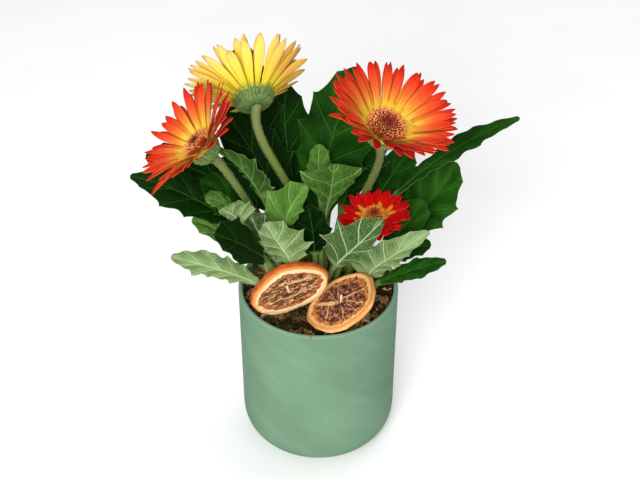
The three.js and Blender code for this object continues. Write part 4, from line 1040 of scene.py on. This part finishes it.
def makeRays(name, bloom, form, paints, number):
    # A ray at (u, v) is x from hub to tip, y = v width(u) + sway u^2, and z = base + rise (1.3u - 0.3u^2)
    # + curl u^4 + a trough across it, twisted about its own line. Each ray is turned to its place round
    # the axis of the bloom.
    rng = np.random.default_rng(form["seed"] + number)
    turn, near, short, base, wide, length, rise, curl, sway, twist = rayPlan(bloom, form, rng)
    start = bloom["hub"] - form["inset"]
    u, v = np.linspace(0, 1, form["rows"])[None, :, None], np.linspace(-1, 1, form["columns"])[None, None, :]
    width = bloom["rayWidth"] * wide * mix(form["footWidth"], 1, ease(u / 0.62))
    width = width * (1 - np.clip((u - 0.6) / 0.4, 0, 1) ** 2.3) ** 0.8 + form["leastWidth"]
    notch = 1 - form["notch"] * np.clip((u - 0.8) / 0.2, 0, 1) * np.abs(np.cos(v * np.pi * 1.5))
    x = start + (length - start) * u * notch
    trough = form["trough"] * width * (v * v - 0.4) + form["pleat"] * np.cos(v * np.pi * 3)
    angle = twist * u
    y = v * width * np.cos(angle) - trough * np.sin(angle) + sway * u * u
    z = base + rise * (1.3 * u - 0.3 * u * u) + curl * u**4
    z = z + v * width * np.sin(angle) + trough * np.cos(angle)
    half = form["thickness"] / 2
    upper, lower = (np.stack([x + 0 * y, y, z + lift], -1) for lift in (half, -half))
    x, y, z = np.moveaxis(shellRings(upper, lower), -1, 0)
    rays = np.stack([x * np.cos(turn) - y * np.sin(turn), x * np.sin(turn) + y * np.cos(turn), z], -1)
    hub = flatRing(circle(form["hubSides"]), bloom["hub"] * 0.97, form["hub"] * np.array([[-0.5], [0.5]]))
    points = np.concatenate([rays.reshape(-1, 3), hub.reshape(-1, 3)])
    points = points @ turnTo(bloom["axis"]).T + np.array(bloom["centre"])
    total, rows, sides = rays.shape[:3]
    faces = shellFaces(rows, sides, total) + stackFaces(2, form["hubSides"], after=x.size, paint=1)

    def withHub(values):  # 0 on the hub
        return np.concatenate([shellValues(values, width * v).ravel(), np.zeros(hub.size // 3)])

    marks = {"luck": rng.uniform(0, 1, total)[:, None, None], "short": short, "near": near}
    marks = {mark: withHub(values) for mark, values in marks.items()}
    makePiece(camel(name), points, faces, paints, node=name,
              layers={"petal": np.stack([withHub(u), withHub(v)], -1)}, marks=marks)


def rayPaint(name, look):
    # colour along the ray from foot to tip, pale edges, fine dark lines, a darker tint on the near side as
    # painted shade, and one colour for the short inner rays
    paint = Paint(name, Roughness=0.65, Specular_IOR_Level=0.06)
    u, v = paint.split(paint.uv("petal"))[:2]
    luck = paint.mark("luck")
    across = paint.times(v, 7.0)
    streaks = paint.noise(paint.join(paint.times(u, 2.2), across, paint.times(luck, 40.0)), 1.0, 3.0)
    shifted = paint.scaled(paint.less(streaks, 0.5), 0.36, u)
    shifted = paint.scaled(paint.less(luck, 0.5), 0.12, shifted)
    base = paint.ramp(shifted, look["stops"])
    # painted shade: the rays on the near side are turned towards the darker near colour
    near = paint.times(paint.step(paint.mark("near"), 0.5, 1.0), paint.step(u, 0.15, 0.5))
    base = paint.tint(base, near, 0.75, look["near"])
    lines = paint.math("SINE", paint.times(v, 22.0))
    dark = paint.times(paint.step(lines, 0.2, 1.0), paint.step(u, 0.2, 0.6))
    base = paint.tint(base, dark, 0.16, look["stops"][-1][1])
    rim = paint.times(paint.step(paint.math("ABSOLUTE", v), 0.8, 1.0), paint.step(u, 0.12, 0.5))
    base = paint.tint(base, rim, look["edgeShare"], look["edge"])
    paint.colour(paint.tint(base, paint.mark("short"), 0.8, look["inner"]))
    paint.relief(paint.scaled(lines, 0.25, streaks), 0.0004)
    return paint


# near is the darker colour of the painted shade on the rays towards one side
rayLooks = {
    "rayOrangeTop": {"stops": [(0.02, (244, 212, 70)), (0.21, (240, 194, 62)), (0.37, (230, 136, 52)),
        (0.57, (222, 86, 40)), (0.83, (216, 50, 26)), (1.0, (196, 34, 24))],
        "edge": (228, 120, 62), "edgeShare": 0.35, "inner": (232, 196, 66), "near": (196, 18, 40)},
    "rayOrangeUnder": {"stops": [(0.05, (206, 192, 72)), (0.4, (226, 180, 70)), (0.75, (224, 124, 58)),
        (1.0, (196, 60, 36))],
        "edge": (212, 92, 48), "edgeShare": 0.5, "inner": (222, 188, 74), "near": (196, 18, 40)},
    "rayRedTop": {"stops": [(0.02, (236, 186, 44)), (0.14, (230, 110, 22)), (0.24, (200, 10, 6)),
        (0.6, (194, 2, 4)), (1.0, (168, 2, 8))],
        "edge": (226, 66, 46), "edgeShare": 0.3, "inner": (236, 164, 44), "near": (204, 4, 10)},
    "rayRedUnder": {"stops": [(0.05, (216, 172, 56)), (0.4, (212, 112, 54)), (1.0, (178, 20, 14))],
        "edge": (204, 84, 46), "edgeShare": 0.4, "inner": (230, 182, 64), "near": (186, 12, 16)},
    "rayYellowUnder": {"stops": [(0.02, (190, 188, 56)), (0.16, (234, 206, 54)), (0.6, (238, 210, 86)),
        (1.0, (234, 208, 116))],
        "edge": (214, 156, 66), "edgeShare": 0.45, "inner": (236, 206, 72), "near": (226, 160, 62)},
    "rayYellowTop": {"stops": [(0.02, (236, 202, 58)), (0.5, (236, 196, 64)), (1.0, (224, 150, 58))],
        "edge": (206, 118, 50), "edgeShare": 0.5, "inner": (236, 202, 70), "near": (206, 118, 48)},
}
rayPaints = {name: rayPaint(name, look) for name, look in rayLooks.items()}

discForm = {
    "lift": 0.9, "hub": 3.0, "gap": 0.3, "reach": 0.86, "dome": 0.32, "wall": 1.2, "seed": 90,
    "sides": 48, "rings": 12, "florets": 300,
    "floretRows": 4, "floretSides": 5, "floretFoot": 0.9, "uneven": 0.13,
    "lean": (0.15, 0.75), "tall": (1.1, 3.4), "flareAt": 15,  # flare holds for a disc of radius 15
    "flare": ((0.42, 0.46, 0.34, 0.1), (0.3, 0.36, 0.6, 0.34)),  # foot to tip, in the middle and outside
}


def makeDisc(name, bloom, form, paint, number):
    # Floret k stands at root((k + 0.5)/n) of the radius, k golden angles round, on a low dome. It flares
    # to its tip, and leans out more the further out it stands.
    rng = np.random.default_rng(form["seed"] + number)
    foot = form["hub"] / 2 + form["gap"] + form["lift"]
    radius, dome = bloom["discRadius"] * form["reach"], bloom["discRadius"] * form["dome"]
    share = np.concatenate([[1, 1], np.linspace(0.98, 0.06, form["rings"])])[:, None]
    height = np.concatenate([[[0], [form["wall"]]], form["wall"] + dome * (1 - share[2:] ** 2)])
    dish = flatRing(circle(form["sides"]), share * radius, foot + height)
    count, steps = form["florets"], np.linspace(0, 1, form["floretRows"])
    share = np.sqrt((np.arange(count) + 0.5) / count)
    angle = np.arange(count) * np.pi * (3 - math.sqrt(5))
    out = flatRing(angle)
    outer = ease((share - 0.35) / 0.3)
    lean = (form["lean"][0] + form["lean"][1] * share)[:, None]
    way = out * np.sin(lean) + np.array([0, 0, 1]) * np.cos(lean)
    way = unit(way + rng.normal(0, form["uneven"], out.shape))
    tall = mix(*form["tall"], outer) * rng.uniform(0.75, 1.3, count)
    feet = flatRing(angle, share * radius * 0.97, foot + form["floretFoot"] + dome * (1 - share**2))
    paths = feet[:, None] + way[:, None] * (tall[:, None] * steps)[..., None]
    flare = mix(*(np.array(widths) for widths in form["flare"]), outer[:, None])
    flare = flare * bloom["discRadius"] / form["flareAt"]
    florets = tubes(paths, flare * rng.uniform(0.85, 1.2, (count, 1)), form["floretSides"])
    points = np.concatenate([dish.reshape(-1, 3), florets.reshape(-1, 3)])
    points = points @ turnTo(bloom["axis"]).T + np.array(bloom["centre"])
    start, size = dish.size // 3, form["floretRows"] * form["floretSides"]
    faces = stackFaces(*dish.shape[:2]) + stackFaces(form["floretRows"], form["floretSides"], count, start)
    values = {"ring": (0.2, np.repeat(share, size)),
              "tip": (0, np.tile(np.repeat(steps, form["floretSides"]), count)),
              "luck": (0, np.repeat(rng.uniform(0, 1, count), size))}
    marks = {mark: np.concatenate([np.full(start, under), above]) for mark, (under, above) in values.items()}
    makePiece(camel(name), points, faces, [paint], node=name, marks=marks)


def discPaint(name, look):  # eye, then three ring colours outwards, with lighter tips on the florets
    paint = Paint(name, Roughness=0.7, Specular_IOR_Level=0.2)
    ring, tip, luck = paint.mark("ring"), paint.mark("tip"), paint.mark("luck")
    far = paint.scaled(paint.less(luck, 0.5), 0.2, ring)
    body = paint.ramp(far, list(zip((0.12, 0.34, 0.68, 1.0), (look["eye"], *look["rings"]))))
    body = paint.tint(body, paint.rest(paint.step(tip, 0.0, 0.5)), 0.7, look["rings"][0])
    lit = paint.times(paint.step(tip, 0.5, 1.0), paint.step(far, 0.2, 0.5))
    lit = paint.times(lit, paint.scaled(luck, 0.8, 0.3))
    paint.colour(paint.blend(lit, body, rgb(*look["tip"])))
    paint.relief(paint.noise(paint.place(), 2000.0), 0.0003)
    return paint


discLooks = {
    "discBrown": {"eye": (54, 24, 20), "rings": ((136, 32, 26), (190, 66, 44), (218, 104, 56)),
        "tip": (246, 196, 112)},
    "discYellow": {"eye": (60, 32, 14), "rings": ((120, 68, 22), (158, 104, 30), (180, 140, 46)),
        "tip": (196, 166, 78)},
    "discRed": {"eye": (84, 22, 10), "rings": ((160, 40, 14), (210, 84, 24), (230, 150, 44)),
        "tip": (242, 186, 76)},
}
discPaints = {name: discPaint(name, look) for name, look in discLooks.items()}

for number, (name, bloom) in enumerate(bloomRows.items()):
    makeScape(name + "_scape", bloom, scapeForm, number)
    upperAndLower = [rayPaints[ray] for ray in bloom["rays"]]
    makeRays(name + "_rays", bloom, rayForm, upperAndLower, number)
    makeDisc(name + "_disc", bloom, discForm, discPaints[bloom["disc"]], number)
print("blooms ready")

# Dried orange slices on picks.
sliceRows = {
    # flesh: reach along and across, and power of its outline; webs: from, to and half width of each
    "orange_slice_left": {
        "centre": (-24, -32, 182), "axis": (0.27, -0.955, -0.1), "lie": (0.93, 0.23, 0.29),
        "long": 33, "wide": 26, "thickness": 9, "pickFoot": (-17, -20, 145), "pickHead": (-26.5, -37, 189),
        "flesh": (0.87, 0.8, 1.75), "grain": (4, 15),
        "webs": ((0.05, 0.37, 0.66, 0.2, 0.055), (-0.6, -0.22, 0.66, -0.24, 0.035),
            (-0.56, 0.4, -0.1, 0.42, 0.022), (-0.35, -0.48, 0.42, -0.5, 0.02),
            (-0.66, 0.02, -0.2, 0.1, 0.02)),
        "dark": (34, 18, 10), "mid": (114, 68, 42), "light": (220, 164, 112), "gold": (190, 106, 48),
        "skin": ((158, 62, 18), (196, 88, 30), (216, 122, 54)), "webShare": 0.75,
        "pith": ((240, 214, 174), (234, 196, 138)),
    },
    "orange_slice_right": {
        "centre": (20, -37, 171), "axis": (-0.43, -0.1, 0.9), "lie": (0.83, 0.37, 0.44),
        "long": 31, "wide": 29, "thickness": 6, "pickFoot": (19, -36, 145), "pickHead": (19.5, -38, 180),
        "flesh": (0.85, 0.84, 2.2), "grain": (8, 8),
        "webs": ((-0.02, 0.1, 0.2, 0.68, 0.025), (0.1, 0.06, 0.72, -0.11, 0.03),
            (0.12, -0.12, 0.45, -0.58, 0.03), (0.1, -0.2, 0.2, -0.76, 0.022),
            (-0.12, 0.05, -0.64, 0.5, 0.085), (-0.3, 0.2, -0.66, -0.38, 0.028),
            (-0.1, 0.1, -0.12, 0.66, 0.02), (-0.05, -0.2, -0.24, -0.76, 0.02)),
        "dark": (48, 20, 22), "mid": (112, 60, 52), "light": (206, 140, 92), "gold": (226, 140, 56),
        "skin": ((206, 138, 70), (226, 168, 100), (234, 188, 128)), "webShare": 0.9,
        "pith": ((232, 194, 140), (230, 182, 118)),
    },
}
sliceForm = {
    "angles": 300, "rings": 64, "edgeRings": 14, "wallRings": 9, "belly": 0.9, "bowl": 0.35, "seed": 20,
    "scale": 30, "wander": 0.018, "fray": 0.008, "soft": 0.07, "grainUnit": 8,  # scale is mm to a share of 1
    "crumple": 0.63, "sunk": 0.45, "web": 0.36, "pith": 0.96,
}


def sliceMarks(form, cut, x, y, seed):
    # far = (|x/a|^p + |y/b|^p)^(1/p), flesh is 1 where it stays under 1, and a web is a bell over the
    # distance to its segment
    flat = np.stack([x, y], -1) * form["scale"]
    x = x + form["wander"] * rough(flat, seed + 31, 7.0)
    y = y + form["wander"] * rough(flat, seed + 32, 7.0) + form["fray"] * rough(flat, seed + 33, 2.4, 16)
    a, b, power = cut["flesh"]
    far = (np.abs(x / a) ** power + np.abs(y / b) ** power) ** (1 / power)
    web = 0 * x
    for fromX, fromY, toX, toY, half in cut["webs"]:
        span = np.array([toX - fromX, toY - fromY])
        along = np.clip(((x - fromX) * span[0] + (y - fromY) * span[1]) / (span @ span), 0, 1)
        away = np.hypot(x - fromX - along * span[0], y - fromY - along * span[1])
        web = np.maximum(web, np.exp(-((away / half) ** 2)))
    return ease((1.02 - far) / form["soft"]), far, web


def sliceHeight(form, cut, x, y, share, side, seed):
    # half the thickness at the pith, sunken and crumpled over the flesh, raised on the webs
    half = cut["thickness"] / 2
    flat = np.stack([x, y], -1) * form["scale"]
    grained = flat * (np.array(cut["grain"]) / form["grainUnit"])
    flesh, _, web = sliceMarks(form, cut, x, y, seed)
    pulp = rough(grained, seed + 3 * side, 8.0, 18) * 0.6 + rough(grained, seed + 5, 2.6, 30) * 0.4
    sunk = half * form["sunk"] + form["crumple"] * pulp * (1 - web) + half * form["web"] * web
    pith = half * (form["pith"] + 0.03 * rough(flat, seed + 9, 4.0)) + 0.08 * rough(flat, seed + 10, 1.4, 16)
    edge = np.clip((share - 0.94) / 0.06, 0, 1)
    return mix(pith, sunk, flesh) * (1 - 0.4 * edge**2)


def makeSlice(name, cut, form, number):
    # Faces at (long x wobble, wide y wobble, bowl +- height) over rings of the round, bowl a saddle
    # (share^2 - 0.4) cos 2a, and a peel between them that bellies out by sin(pi t).
    seed = form["seed"] + number
    inner = np.linspace(0.015, 0.9, form["rings"] - form["edgeRings"])
    share = np.concatenate([inner, np.linspace(0.91, 1, form["edgeRings"])])[:, None]
    angle = circle(form["angles"])
    x, y = share * np.cos(angle), share * np.sin(angle)
    wobble = 1 + 0.025 * np.sin(angle * 2 + 1) + 0.02 * np.sin(angle * 5)
    wobble = wobble + 0.006 * np.sin(angle * 13 + number)
    bowl = cut["thickness"] * form["bowl"] * (share**2 - 0.4) * np.cos(angle * 2)
    top, under = (np.stack([cut["long"] * x * wobble, cut["wide"] * y * wobble,
                            bowl + side * sliceHeight(form, cut, x, y, share, side, seed)], -1)
                  for side in (1, -1))
    belly = np.linspace(0, 1, form["wallRings"] + 2)[1:-1, None, None]
    wall = mix(top[-1], under[-1], belly) + unit(flatRing(angle)) * np.sin(np.pi * belly) * form["belly"]
    local = np.concatenate([top, wall, under[::-1]])
    facing = unit(np.array(cut["axis"], float))
    lie = np.array(cut["lie"], float)
    lie = unit(lie - facing * (lie @ facing))
    basis = np.stack([lie, np.cross(facing, lie), facing], -1)
    points = local @ basis.T + np.array(cut["centre"])
    flesh, far, web = sliceMarks(form, cut, x, y, seed)

    def overAll(values, onWall):  # for both faces, with one value on the peel between them
        return np.concatenate([values, np.full(wall.shape[:2], onWall), values[::-1]]).ravel()

    marks = {"flesh": overAll(flesh, 0.0), "far": overAll(far, 1.5), "web": overAll(web, 0.0),
             "share": overAll(share + 0 * x, 1.1)}
    makePiece(camel(name), points, stackFaces(*local.shape[:2]), [slicePaint(name, cut)],
              node=name, layers={"cut": np.stack([overAll(x, 0.0), overAll(y, 0.0)], -1)}, marks=marks)


def slicePaint(name, cut):
    # crumpled flesh with pale webs and a golden rim, cream pith, and peel at the edge
    paint = Paint(camel(name) + "Paint", Roughness=0.7, Specular_IOR_Level=0.2)
    place = paint.place()
    x, y = paint.split(paint.uv("cut"))[:2]
    grain = paint.join(paint.times(x, cut["grain"][0]), paint.times(y, cut["grain"][1]))
    strands = paint.noise(grain, 1.0, 9.0)
    fine = paint.noise(place, 700.0, 4.0)
    tone = paint.scaled(strands, 0.7, paint.times(fine, 0.35))
    flesh = paint.ramp(tone, [(0.42, cut["dark"]), (0.53, cut["mid"]), (0.64, cut["light"])])
    gold = paint.times(paint.step(paint.mark("far"), 0.72, 1.0), paint.step(tone, 0.36, 0.56))
    flesh = paint.tint(flesh, gold, 0.8, cut["gold"])
    broken = paint.step(paint.noise(place, 160.0, 4.0), 0.36, 0.5)
    web = paint.times(paint.step(paint.mark("web"), 0.3, 0.85), paint.scaled(broken, 0.75, 0.25))
    flesh = paint.tint(flesh, web, cut["webShare"], (224, 178, 112))
    far = paint.scaled(fine, 0.1, paint.mark("share"))
    pith = paint.ramp(far, [(0.8, cut["pith"][0]), (0.97, cut["pith"][1]), (1.04, (208, 134, 66))])
    base = paint.blend(paint.step(paint.mark("flesh"), 0.3, 0.7), pith, flesh)
    skin = paint.ramp(paint.noise(place, 120.0, 4.0), list(zip((0.3, 0.55, 0.8), cut["skin"])))
    paint.colour(paint.blend(paint.step(far, 1.04, 1.07), base, skin))
    pits = paint.cells(place, 900.0)
    paint.relief(paint.scaled(fine, 0.8, paint.times(pits, 0.3)), 0.0008)
    return paint


pickForm = {
    "radius": 1.2, "sides": 16, "rows": 12,
    "headShare": (0.985, 0.995, 1.0), "headRadius": (0.92, 0.7, 0.35),
}


def makePick(name, cut, form, paint):  # foot + (head - foot) t, of one radius, with a rounded head
    foot, head = np.array(cut["pickFoot"], float), np.array(cut["pickHead"], float)
    along = unit(head - foot)
    side = unit(np.cross(along, (1, 0, 0)))
    share = np.concatenate([np.linspace(0, 0.97, form["rows"]), form["headShare"]])
    radius = form["radius"] * np.concatenate([np.ones(form["rows"]), form["headRadius"]])
    spoke = spokes(side, np.cross(along, side), circle(form["sides"]))
    points = (foot + (head - foot) * share[:, None])[:, None] + spoke * radius[:, None, None]
    makePiece(camel(name), points, stackFaces(*points.shape[:2]), [paint], node=name)


def pickWood():
    paint = Paint("pickWood", Roughness=0.7)
    cloud = paint.noise(paint.place(), 500.0, 4.0)
    paint.colour(paint.ramp(cloud, [(0.3, (214, 180, 146)), (0.7, (236, 214, 188))]))
    paint.relief(paint.noise(paint.place(), 1500.0), 0.0003)
    return paint


pickPaint = pickWood()
for number, (name, cut) in enumerate(sliceRows.items()):
    makeSlice(name, cut, sliceForm, number)
    makePick(name + "_pick", cut, pickForm, pickPaint)
print("slices ready")
